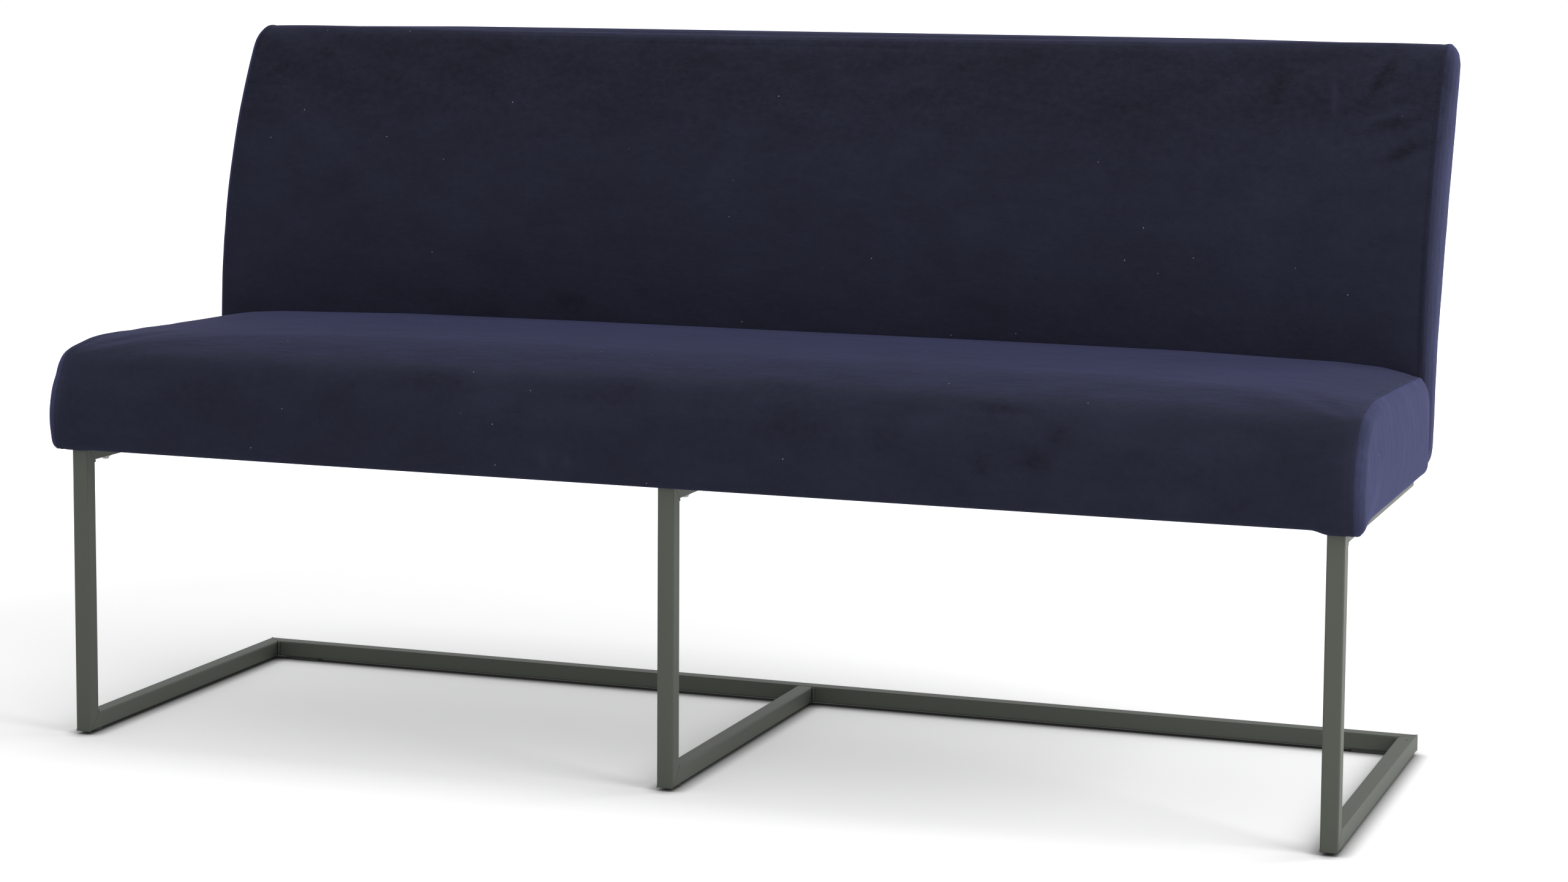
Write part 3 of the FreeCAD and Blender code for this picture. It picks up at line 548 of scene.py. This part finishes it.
def closeEnd(net, tree, ring, outward, longCells, shortCells):
    # quads fill the last ring: a blend of its four sides, laid on the end panel
    count = len(ring)
    far = 2 * longCells + shortCells
    grid = []
    for across in range(longCells + 1):
        row = []
        for down in range(shortCells + 1):
            if down == 0:
                row.append(ring[across])
            elif across == longCells:
                row.append(ring[longCells + down])
            elif down == shortCells:
                row.append(ring[(far - across) % count])
            elif across == 0:
                row.append(ring[(count - down) % count])
            else:
                s, t = across / longCells, down / shortCells
                top, bottom = ring[across].co, ring[(far - across) % count].co
                left, right = ring[(count - down) % count].co, ring[longCells + down].co
                corners = (
                    (1 - s) * (1 - t) * ring[0].co + s * (1 - t) * ring[longCells].co
                    + s * t * ring[longCells + shortCells].co + (1 - s) * t * ring[far].co
                )
                place = (1 - t) * top + t * bottom + (1 - s) * left + s * right - corners
                hit = tree.ray_cast(Vector((outward * 2, place.y, place.z)), Vector((-outward, 0, 0)))[0]
                if hit is not None and abs(hit.x) > abs(place.x):
                    place = hit
                row.append(net.verts.new(place))
        grid.append(row)
    for first, second in zip(grid, grid[1:]):
        for index in range(shortCells):
            net.faces.new((first[index], first[index + 1], second[index + 1], second[index]))


endProbes = {"low": (35 * mm, 40 * mm), "high": (42 * mm, 40 * mm)}  # Y and Z in from the box's corners


def layNet(cushion, sidesOf):
    tree = skinTree(cushion["nodes"] + cushion["under"])
    low, high = boxOf(cushion["nodes"])
    seam = boxOf(cushion["nodes"][:1])[1].x
    cells = [cushion["longCells"], cushion["shortCells"]]
    sides = sidesOf(low, high)
    rays = [ray for side, count in zip(sides, cells * 2) for ray in evenRays(tree, side, count)]
    reach = []
    first, second = endProbes["low"], endProbes["high"]
    for y, z in ((low.y + first[0], low.z + first[1]), (high.y - second[0], high.z - second[1])):
        reach.append(tree.ray_cast(Vector((2, y, z)), Vector((-1, 0, 0)))[0].x)
    last = sum(reach) / 2 - cushion["edgeInset"]
    net = bmesh.new()
    rings = []
    for place in stations(cushion, seam, last):
        ring = []
        beyond = max(0.0, (abs(place) - seam) / (last - seam))
        for ray in rays:
            lean = (reach[1] - reach[0]) * ((ray[1] - low.z) / (high.z - low.z) - 0.5)
            point = skinPoint(tree, place + math.copysign(lean * beyond, place), ray)
            point.z = max(point.z, low.z)
            ring.append(net.verts.new(point))
        rings.append(ring)
    for first, second in zip(rings, rings[1:]):
        for index in range(len(rays)):
            after = (index + 1) % len(rays)
            net.faces.new((first[index], first[after], second[after], second[index]))
    closeEnd(net, tree, rings[0], -1, *cells)
    closeEnd(net, tree, rings[-1], 1, *cells)
    bmesh.ops.recalc_face_normals(net, faces=net.faces)
    mesh = bpy.data.meshes.new(cushion["name"])
    net.to_mesh(mesh)
    net.free()
    cushion.update(seam=seam, low=low, high=high, sides=sides)
    print(cushion["name"], "net laid,", len(mesh.vertices), "points")
    return newObject(cushion["name"], mesh)


holding = {"seamReach": 5 * mm, "facing": 0.8, "stapled": 4 * mm, "pressed": 8 * mm}


def heldWeight(cushion, vertex):
    # 1 where the fabric is sewn or stapled down, or pressed against its neighbour
    fromSeam = abs(abs(vertex.co.x) - cushion["seam"])
    facing = holding["facing"]
    if vertex.normal.z < -facing and vertex.co.z < cushion["low"].z + holding["stapled"]:
        return 1.0
    if cushion is seatCushion and vertex.normal.y > facing:
        return 1.0
    behindSeat = vertex.co.z < seatCushion["high"].z - holding["pressed"]
    if cushion is backCushion and behindSeat and vertex.normal.y < -facing:
        return 1.0
    return math.exp(-(fromSeam / holding["seamReach"]) ** 2)


def evened(mesh, values, rounds):
    # the values averaged with their neighbours again and again, which leaves only their broad run
    edges = numpy.empty(len(mesh.edges) * 2, dtype=int)
    mesh.edges.foreach_get("vertices", edges)
    first, second = edges[0::2], edges[1::2]
    count = numpy.bincount(edges, minlength=len(values)) + 1
    for _ in range(rounds):
        total = values.copy()
        total += numpy.bincount(first, values[second], len(values))
        total += numpy.bincount(second, values[first], len(values))
        values = total / count
    return values


swelling = {
    "steps": 20, "quality": 5, "mass": 0.3, "endReach": 110 * mm, "slackShare": 0.15,
    "even": 0.6, "uneven": 0.8, "unevenScale": 9,
}


def swell(cushion, piece):
    # the fabric is blown up where nothing holds it; foam keeps the broad shape, so only folds stay
    vertices = piece.data.vertices
    skin = [vertex.co.copy() for vertex in vertices]
    normals = [vertex.normal.copy() for vertex in vertices]
    held = piece.vertex_groups.new(name="held")
    loose = piece.vertex_groups.new(name="loose")
    for index, vertex in enumerate(vertices):
        weight = heldWeight(cushion, vertex)
        nearEnd = math.exp(-((cushion["seam"] - abs(vertex.co.x)) / swelling["endReach"]) ** 2)
        rough = noise.noise(vertex.co * swelling["unevenScale"])
        uneven = swelling["even"] + swelling["uneven"] * rough
        share = max(0.0, min(1.0, (swelling["slackShare"] + nearEnd) * uneven))
        held.add([index], weight, "REPLACE")
        loose.add([index], share, "REPLACE")
        vertex.co = skin[index] - normals[index] * cushion["startInset"] * (1 - weight)
    cloth = piece.modifiers.new("swelling", "CLOTH")
    settings = cloth.settings
    settings.quality = swelling["quality"]
    settings.mass = swelling["mass"]
    settings.bending_stiffness = cushion["bending"]
    settings.use_pressure = True
    settings.uniform_pressure_force = cushion["pressure"]
    settings.vertex_group_mass = "held"
    settings.vertex_group_shrink = "loose"
    settings.shrink_min = 0.0
    settings.shrink_max = -cushion["slack"]
    settings.effector_weights.gravity = 0.0
    cloth.point_cache.frame_start, cloth.point_cache.frame_end = 1, swelling["steps"]
    scene = bpy.context.scene
    for step in range(1, swelling["steps"] + 1):
        scene.frame_set(step)
    view = bpy.context.evaluated_depsgraph_get()
    blown = [vertex.co.copy() for vertex in piece.evaluated_get(view).data.vertices]
    piece.modifiers.remove(cloth)
    scene.frame_set(1)
    outs = numpy.array([
        (place - start).dot(normal) for place, start, normal in zip(blown, skin, normals)
    ])
    folds = outs - evened(piece.data, outs, cushion["evening"])
    least, most = round(folds.min() / mm, 1), round(folds.max() / mm, 1)
    print(cushion["name"], "folds from", least, "to", most, "mm")
    folds = numpy.clip(folds * cushion["foldGain"], -cushion["mostIn"], cushion["mostOut"])
    for vertex, start, normal, fold in zip(vertices, skin, normals, folds):
        vertex.co = start + normal * float(fold)


def ramp(value, start, end):
    # 0 at start and 1 at end, with a smooth run between
    share = numpy.clip((value - start) / (end - start), 0, 1)
    return share * share * (3 - 2 * share)


crest = {  # from none to all of the softening: below the top, behind the front and before the seam
    "below": (60 * mm, 40 * mm), "behind": (150 * mm, 110 * mm), "beforeSeam": (20 * mm, 90 * mm),
}


def soften(cushion, piece):
    # thick foam rounds the crest along the front a little more between the ends
    vertices = piece.data.vertices
    places = numpy.array([tuple(vertex.co) for vertex in vertices])
    weights = (
        ramp(places[:, 2], *(cushion["high"].z - value for value in crest["below"]))
        * ramp(places[:, 1], *(cushion["low"].y + value for value in crest["behind"]))
        * ramp(abs(places[:, 0]), *(cushion["seam"] - value for value in crest["beforeSeam"]))
    )
    for _ in range(cushion["softening"]):
        for axis in range(3):
            places[:, axis] += weights * (evened(piece.data, places[:, axis], 1) - places[:, axis])
    for vertex, place in zip(vertices, places):
        vertex.co = Vector(place)


creaseShape = {"first": -0.3, "last": 1.3, "middle": 0.4, "run": 0.42, "ridge": 1.1}


def creaseDepth(crease, point):
    # a valley with a low ridge on each side, fading at both ends
    (x0, z0), (x1, z1), depth, width = crease
    start, along = Vector((x0, z0)) * mm, Vector((x1 - x0, z1 - z0)) * mm
    offset = Vector((point.x, point.z)) - start
    share = offset.dot(along) / along.length_squared
    if not creaseShape["first"] < share < creaseShape["last"]:
        return 0.0
    aside = (offset - along * share).length / (width * mm)
    fade = math.exp(-((share - creaseShape["middle"]) / creaseShape["run"]) ** 4)
    return depth * mm * fade * (1 - creaseShape["ridge"] * aside ** 2) * math.exp(-aside ** 2)


hanging = {  # from none to all of the droop: before the seam, behind the front, above the bottom
    "besideLeg": ((10 * mm, 0.0), (70 * mm, 15 * mm)),
    "beforeLeg": ((48 * mm, 26 * mm), (20 * mm, 15 * mm)),
    "rise": 50 * mm, "leftShare": 0.25,
}


def hangingShare(cushion, point, kind):
    ends, fronts = hanging[kind]
    share = ramp(abs(point.x), *(cushion["seam"] - value for value in ends))
    return share * ramp(point.y, *(cushion["low"].y + value for value in fronts))


def cornerShare(cushion, point):
    # the fabric hangs lower beside the right leg and just before it, and only a little at the left end
    share = max(hangingShare(cushion, point, kind) for kind in ("besideLeg", "beforeLeg"))
    share *= ramp(point.z, cushion["low"].z + hanging["rise"], cushion["low"].z)
    return share if point.x > 0 else share * hanging["leftShare"]


def sew(cushion, piece):
    # the seams and the stitch rows pull the fabric in, and it puckers beside them
    vertices = piece.data.vertices
    normals = [vertex.normal.copy() for vertex in vertices]
    for vertex, normal in zip(vertices, normals):
        fromSeam = abs(vertex.co.x) - cushion["seam"]
        fromStitch = (fromSeam + stitching["fromSeam"]) / stitching["pullHalfWidth"]
        depth = seams["depth"] * math.exp(-(fromSeam / seams["halfWidth"]) ** 2)
        depth += stitching["pullDepth"] * math.exp(-fromStitch ** 2)
        spot = Vector((vertex.co.x * 0.2, vertex.co.y, vertex.co.z))  # puckers run along X
        pucker = noise.noise(spot / seams["puckerSize"])
        depth += seams["pucker"] * pucker * math.exp(-(fromSeam / seams["puckerReach"]) ** 2)
        if normal.y < -0.4:
            depth += sum(creaseDepth(crease, vertex.co) for crease in cushion["creases"])
        vertex.co -= normal * depth
        vertex.co.z -= cushion["droop"] * cornerShare(cushion, vertex.co)


def smoother(piece):
    # the subdivision would draw the shape in, so its points are first moved out by as much
    rounding = piece.modifiers.new("rounding", "SUBSURF")
    rounding.levels = rounding.render_levels = 1
    view = bpy.context.evaluated_depsgraph_get()
    drawn = [vertex.co.copy() for vertex in piece.evaluated_get(view).data.vertices]
    drawn = drawn[:len(piece.data.vertices)]
    shift = max((vertex.co - place).length for vertex, place in zip(piece.data.vertices, drawn))
    print(piece.name, "would be drawn in by up to", round(shift / mm, 2), "mm")
    for vertex, place in zip(piece.data.vertices, drawn):
        vertex.co += vertex.co - place
    return applied(piece)


def makeCushion(cushion, sidesOf):
    piece = layNet(cushion, sidesOf)
    soften(cushion, piece)
    swell(cushion, piece)
    piece = smoother(piece)
    sew(cushion, piece)
    finished(piece, looks["velvet"])
    # faces beyond the seams take the end velvet, whose lighter colour is painted light from the right side
    piece.data.materials.append(looks["paintedLitEndVelvet"])
    for face in piece.data.polygons:
        face.material_index = int(abs(face.center.x) > cushion["seam"])
    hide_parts(*cushion["nodes"], *cushion["inside"])
    cushion["piece"] = piece
    print(cushion["name"], "sewn,", len(piece.data.polygons), "faces")


makeCushion(seatCushion, seatSides)
makeCushion(backCushion, backSides)


# Stitches, staples and weld ripples: one shape repeated along a line by Geometry Nodes

def rowTree(name, shape):
    # inputs: the line, the pitch, the size of one shape, how much the sizes vary, and the material
    tree = bpy.data.node_groups.new(name, "GeometryNodeTree")
    for label, kind in (
        ("Line", "Geometry"), ("Pitch", "Float"), ("Size", "Vector"), ("Variation", "Float"),
        ("Seed", "Int"), ("Material", "Material"),
    ):
        tree.interface.new_socket(label, in_out="INPUT", socket_type="NodeSocket" + kind)
    tree.interface.new_socket("Row", in_out="OUTPUT", socket_type="NodeSocketGeometry")
    link = tree.links.new
    start, end = tree.nodes.new("NodeGroupInput"), tree.nodes.new("NodeGroupOutput")
    spaced = addNode(tree, "GeometryNodeResampleCurve", mode="LENGTH")
    link(start.outputs["Line"], spaced.inputs["Curve"])
    link(start.outputs["Pitch"], spaced.inputs["Length"])
    if shape == "box":
        unit = tree.nodes.new("GeometryNodeMeshCube")
    else:
        unit = tree.nodes.new("GeometryNodeMeshUVSphere")
        unit.inputs["Segments"].default_value = 8
        unit.inputs["Rings"].default_value = 6
        unit.inputs["Radius"].default_value = 0.5
    tangent = tree.nodes.new("GeometryNodeInputTangent")
    aligned = addNode(tree, "FunctionNodeAlignRotationToVector", axis="Z")
    link(tangent.outputs[0], aligned.inputs["Vector"])
    change = addNode(tree, "FunctionNodeRandomValue", data_type="FLOAT")
    link(start.outputs["Seed"], change.inputs["Seed"])
    link(mathNode(tree, "SUBTRACT", 1.0, start.outputs["Variation"]), change.inputs[2])
    link(mathNode(tree, "ADD", 1.0, start.outputs["Variation"]), change.inputs[3])
    scaled = addNode(tree, "ShaderNodeVectorMath", operation="SCALE")
    link(start.outputs["Size"], scaled.inputs[0])
    link(change.outputs[1], scaled.inputs["Scale"])
    placed = tree.nodes.new("GeometryNodeInstanceOnPoints")
    link(spaced.outputs["Curve"], placed.inputs["Points"])
    link(unit.outputs["Mesh"], placed.inputs["Instance"])
    link(aligned.outputs[0], placed.inputs["Rotation"])
    link(scaled.outputs[0], placed.inputs["Scale"])
    real = tree.nodes.new("GeometryNodeRealizeInstances")
    link(placed.outputs[0], real.inputs[0])
    dressed = tree.nodes.new("GeometryNodeSetMaterial")
    link(real.outputs[0], dressed.inputs["Geometry"])
    link(start.outputs["Material"], dressed.inputs["Material"])
    link(dressed.outputs[0], end.inputs["Row"])
    return tree


rowTrees = {"bead": rowTree("beadRow", "bead"), "box": rowTree("boxRow", "box")}


def linesObject(name, lines, closed):
    curve = bpy.data.curves.new(name, "CURVE")
    curve.dimensions = "3D"
    for points in lines:
        spline = curve.splines.new("POLY")
        spline.points.add(len(points) - 1)
        for target, point in zip(spline.points, points):
            target.co = (*point, 1.0)
        spline.use_cyclic_u = closed
    return newObject(name, curve)


def makeRow(name, lines, closed, shape, look, values):
    thing = linesObject(name, lines, closed)
    row = thing.modifiers.new("row", "NODES")
    row.node_group = rowTrees[shape]
    values = dict(values, Material=looks[look])
    for item in row.node_group.interface.items_tree:
        if item.in_out == "INPUT" and item.name in values:
            row[item.identifier] = values[item.name]
    made = finished(applied(thing), looks[look])
    print(name, "made,", len(made.data.polygons), "faces")
    return made


def stitchLines(cushion):
    # both stitch rows of a cushion, laid on its finished surface
    mesh = bmesh.new()
    mesh.from_mesh(cushion["piece"].data)
    tree = BVHTree.FromBMesh(mesh)
    mesh.free()
    lines = []
    count = stitching["pointsPerSide"]
    rays = [way(step / count) for way in cushion["sides"] for step in range(count)]
    for side in (-1, 1):
        x = side * (cushion["seam"] - stitching["fromSeam"])
        lines.append([skinPoint(tree, x, ray) for ray in rays])
    return lines


for cushion in (seatCushion, backCushion):
    stitches = makeRow(cushion["name"] + "Stitches", stitchLines(cushion), True, "bead", "thread", {
        "Pitch": stitching["pitch"], "Variation": 0.06, "Seed": 3,
        "Size": (stitching["thickness"], stitching["thickness"], stitching["length"]),
    })


dustCover = {
    "thickness": 0.5 * mm, "cell": 16 * mm, "belowTop": 0.2 * mm, "heldEdge": 12 * mm,
    "sag": 2.4 * mm, "fullness": 0.6, "ripple": 0.35 * mm, "rippleScale": 25,
}


def dustCoverSag(x, y, low, high):
    # the cloth hangs a little between its stapled edges and the bearers that press it up
    edge, half = dustCover["heldEdge"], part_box("right_bearer")[0].x
    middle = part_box("centre_bearer")[1].x
    across = (y - low.y - edge) / (high.y - low.y - 2 * edge)
    along = (abs(x) - middle) / (half - middle)
    if not (0 < across < 1 and 0 < along < 1):
        return 0.0
    shape = (math.sin(math.pi * across) * math.sin(math.pi * along)) ** dustCover["fullness"]
    ripple = noise.noise(Vector((x, y, 0)) * dustCover["rippleScale"])
    return shape * (dustCover["sag"] + dustCover["ripple"] * ripple)


def makeDustCover():
    low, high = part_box("seat_dust_cover")
    across = round((high.y - low.y) / dustCover["cell"])
    along = round((high.x - low.x) / dustCover["cell"])
    top = high.z - dustCover["belowTop"]
    net = bmesh.new()
    rows = []
    for row in range(across + 1):
        y = low.y + (high.y - low.y) * row / across
        points = []
        for column in range(along + 1):
            x = low.x + (high.x - low.x) * column / along
            points.append(net.verts.new((x, y, top - dustCoverSag(x, y, low, high))))
        rows.append(points)
    for first, second in zip(rows, rows[1:]):
        for index in range(along):
            net.faces.new((first[index], first[index + 1], second[index + 1], second[index]))
    mesh = bpy.data.meshes.new("dustCover")
    net.to_mesh(mesh)
    net.free()
    sheet = newObject("dustCover", mesh)
    thick = sheet.modifiers.new("thick", "SOLIDIFY")
    thick.thickness = dustCover["thickness"]
    thick.offset = -1.0
    sheet = finished(applied(sheet), looks["dustCloth"])
    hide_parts("seat_dust_cover")


makeDustCover()
print("dust cover made")

staples = {"fromEdge": 7 * mm, "pitch": 42 * mm, "crown": 10 * mm, "wire": 0.7 * mm}


def stapleLine():
    low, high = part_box("seat_dust_cover")
    inset = staples["fromEdge"]
    x, y0, y1, z = high.x - inset, low.y + inset, high.y - inset, low.z
    return [[(-x, y0, z), (x, y0, z), (x, y1, z), (-x, y1, z)]]


stapleRow = makeRow("dustCoverStaples", stapleLine(), True, "box", "zinc", {
    "Pitch": staples["pitch"], "Variation": 0.0, "Seed": 1,
    "Size": (staples["wire"], staples["wire"], staples["crown"]),
})


# Frame joints: rippled weld beads and the fine lines where the mitred tubes meet

welds = {"ripple": 1.7 * mm, "length": 3.4 * mm, "variation": 0.14}
jointLines = {"halfWidth": 0.32 * mm, "proud": 0.02 * mm}


def islands(mesh):
    # the vertex places of each separate solid in a mesh of loose triangles
    joined = bmesh.new()
    joined.from_mesh(mesh)
    bmesh.ops.remove_doubles(joined, verts=joined.verts, dist=1e-6)
    found, seen = [], set()
    for vertex in joined.verts:
        if vertex in seen:
            continue
        group, waiting = [], [vertex]
        seen.add(vertex)
        while waiting:
            current = waiting.pop()
            group.append(current.co.copy())
            for edge in current.link_edges:
                other = edge.other_vert(current)
                if other not in seen:
                    seen.add(other)
                    waiting.append(other)
        found.append(group)
    joined.free()
    return found


def weldLines():
    lines, widths = [], []
    for points in islands(nodes["frame_welds"].data):
        low = Vector([min(point[axis] for point in points) for axis in range(3)])
        high = Vector([max(point[axis] for point in points) for axis in range(3)])
        size = high - low
        axis = max(range(3), key=lambda index: size[index])
        middle = (low + high) / 2
        first, last = middle.copy(), middle.copy()
        first[axis], last[axis] = low[axis], high[axis]
        lines.append([first, last])
        widths.append(sorted(size)[1])
    return lines, sum(widths) / len(widths)


def mitreLoops():
    # a thin line round each mitre of the frame and round the centre runner's butt joint
    loops = []
    proud = jointLines["proud"]
    for side in ("left", "centre", "right"):
        low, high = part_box(side + "_leg")
        tube = high.x - low.x
        x0, x1 = low.x - proud, high.x + proud
        for outer, step in ((low.z - proud, 1), (high.z + proud, -1)):
            y0, y1 = low.y - proud, low.y + tube + proud
            inner = outer + step * (tube + 2 * proud)
            loops.append([(x0, y0, outer), (x1, y0, outer), (x1, y1, inner), (x0, y1, inner)])
    low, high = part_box("rear_rail")
    tube = high.y - low.y
    z0, z1 = low.z - proud, high.z + proud
    for edge, side in ((low.x, -1), (high.x, 1)):
        outer, inner = edge + side * proud, edge - side * (tube + proud)
        y0, y1 = low.y - proud, high.y + proud
        loops.append([(outer, y1, z0), (inner, y0, z0), (inner, y0, z1), (outer, y1, z1)])
    left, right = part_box("centre_runner")
    x0, x1, y = left.x - proud, right.x + proud, low.y
    loops.append([(x0, y, z0), (x1, y, z0), (x1, y, z1), (x0, y, z1)])
    return loops


beadLines, beadWidth = weldLines()
ripples = makeRow("weldRipples", beadLines, False, "bead", "coat", {
    "Pitch": welds["ripple"], "Variation": welds["variation"], "Seed": 5,
    "Size": (beadWidth, beadWidth, welds["length"]),
})
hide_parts("frame_welds")

mitres = linesObject("mitreLines", mitreLoops(), True)
mitres.data.bevel_depth = jointLines["halfWidth"]
mitres.data.bevel_resolution = 1
mitres = finished(applied(mitres), looks["joint"])
print("joints made")


# Stage, light and camera

stageSizes = {
    "floorSide": 60.0, "floorShade": 0.9, "floorRoughness": 0.9,
    "glow": 0.22, "nearRadius": 1.25, "farRadius": 2.4,  # the floor turns to plain white between the radii
    "contactShadowReach": 20 * mm, "contactShadowDepth": 1.6,  # painted contact shadow: the floor darker close to what stands on it
    "worldLight": 0.6,
}


def backgroundRays(tree):
    # 1 where the camera, or something shiny or clear, looks at the background
    path = tree.nodes.new("ShaderNodeLightPath")
    seen = mathNode(tree, "MAXIMUM", path.outputs["Is Camera Ray"], path.outputs["Is Glossy Ray"])
    return mathNode(tree, "MAXIMUM", seen, path.outputs["Is Transmission Ray"])


def makeFloor():
    side = stageSizes["floorSide"] / 2
    mesh = bpy.data.meshes.new("studioFloor")
    corners = [(-side, -side, 0), (side, -side, 0), (side, side, 0), (-side, side, 0)]
    mesh.from_pydata(corners, [], [(0, 1, 2, 3)])
    floor = newObject("studioFloor", mesh)
    material, tree, shader = newMaterial("whiteFloor")
    # painted contact shadow: ambient occlusion darkens the floor's colour and its glow close to what
    # stands on it
    contact = addNode(tree, "ShaderNodeAmbientOcclusion", samples=8)
    contact.inputs["Distance"].default_value = stageSizes["contactShadowReach"]
    unshadowedShare = mathNode(tree, "POWER", contact.outputs["AO"], stageSizes["contactShadowDepth"])
    shade = mathNode(tree, "MULTIPLY", unshadowedShare, stageSizes["floorShade"])
    tree.links.new(shade, shader.inputs["Base Color"])
    shader.inputs["Roughness"].default_value = stageSizes["floorRoughness"]
    shader.inputs["Specular IOR Level"].default_value = 0.0
    place = addNode(tree, "ShaderNodeTexCoord").outputs["Object"]
    far = addNode(tree, "ShaderNodeVectorMath", operation="LENGTH")
    tree.links.new(place, far.inputs[0])
    spread = addNode(tree, "ShaderNodeMapRange", interpolation_type="SMOOTHSTEP")
    tree.links.new(far.outputs["Value"], spread.inputs["Value"])
    spread.inputs["From Min"].default_value = stageSizes["nearRadius"]
    spread.inputs["From Max"].default_value = stageSizes["farRadius"]
    spread.inputs["To Min"].default_value = stageSizes["glow"]
    spread.inputs["To Max"].default_value = 1.0
    glow = addNode(tree, "ShaderNodeEmission")
    seen = mathNode(tree, "MULTIPLY", spread.outputs["Result"], backgroundRays(tree))
    strength = mathNode(tree, "MULTIPLY", seen, unshadowedShare)
    tree.links.new(strength, glow.inputs["Strength"])
    both = tree.nodes.new("ShaderNodeAddShader")
    tree.links.new(shader.outputs[0], both.inputs[0])
    tree.links.new(glow.outputs[0], both.inputs[1])
    tree.links.new(both.outputs[0], tree.nodes["Material Output"].inputs["Surface"])
    mesh.materials.append(material)


def makeWorld(strength):
    world = bpy.data.worlds.new("studioWorld")
    bpy.context.scene.world = world
    world.use_nodes = True
    tree = world.node_tree
    background = tree.nodes["Background"]
    background.inputs["Color"].default_value = (1.0, 1.0, 1.0, 1.0)
    level = mathNode(tree, "MULTIPLY_ADD", backgroundRays(tree), 1.0 - strength, strength)
    tree.links.new(level, background.inputs["Strength"])


def addLamp(name, place, target, size, power):
    lamp = bpy.data.lights.new(name, "AREA")
    lamp.shape = "RECTANGLE"
    lamp.size, lamp.size_y = size
    lamp.energy = power
    made = newObject(name, lamp)
    made.location = place
    made.rotation_euler = (Vector(target) - Vector(place)).to_track_quat("-Z", "Y").to_euler()


lamps = {  # place, the point it faces, width and height, watts
    "ceilingSoftbox": ((0.0, 0.2, 3.0), (0.0, 0.0, 0.0), (2.4, 1.0), 25),
    "rightSoftbox": ((3.3, -0.9, 2.0), (0.3, 0.0, 0.4), (1.6, 2.0), 58),
    "rearSoftbox": ((3.1, 2.1, 1.4), (0.3, 0.0, 0.5), (1.4, 1.8), 35),
    "frontSoftbox": ((0.4, -4.6, 1.5), (0.0, 0.0, 0.5), (3.2, 2.0), 42),
}
makeFloor()
makeWorld(stageSizes["worldLight"])
for name, values in lamps.items():
    addLamp(name, *values)

cameraSizes = {
    "place": Vector((1434.4, -3858.9, 977.2)) * mm,
    "turn": 0.3539, "tilt": 0.1046, "roll": 0.0057,  # radians: towards -X, downwards, anticlockwise
    "focalPixels": 5636.9, "axisPixels": (1234.75, 480.8), "framePixels": (2560, 1440),
    "sensorWidth": 36.0,
}


def makeCamera():
    width, height = cameraSizes["framePixels"]
    lens = bpy.data.cameras.new("photoCamera")
    lens.sensor_width = cameraSizes["sensorWidth"]
    lens.lens = cameraSizes["focalPixels"] / width * lens.sensor_width
    lens.shift_x = (width / 2 - cameraSizes["axisPixels"][0]) / width
    lens.shift_y = (cameraSizes["axisPixels"][1] - height / 2) / width
    made = newObject("photoCamera", lens)
    turn = Matrix.Rotation(cameraSizes["turn"], 4, "Z")
    tilt = Matrix.Rotation(math.pi / 2 - cameraSizes["tilt"], 4, "X")
    roll = Matrix.Rotation(cameraSizes["roll"], 4, "Z")
    made.matrix_world = Matrix.Translation(cameraSizes["place"]) @ turn @ tilt @ roll
    bpy.context.scene.camera = made


makeCamera()
bpy.context.scene.view_settings.view_transform = "Standard"
print("stage, lamps and camera made")
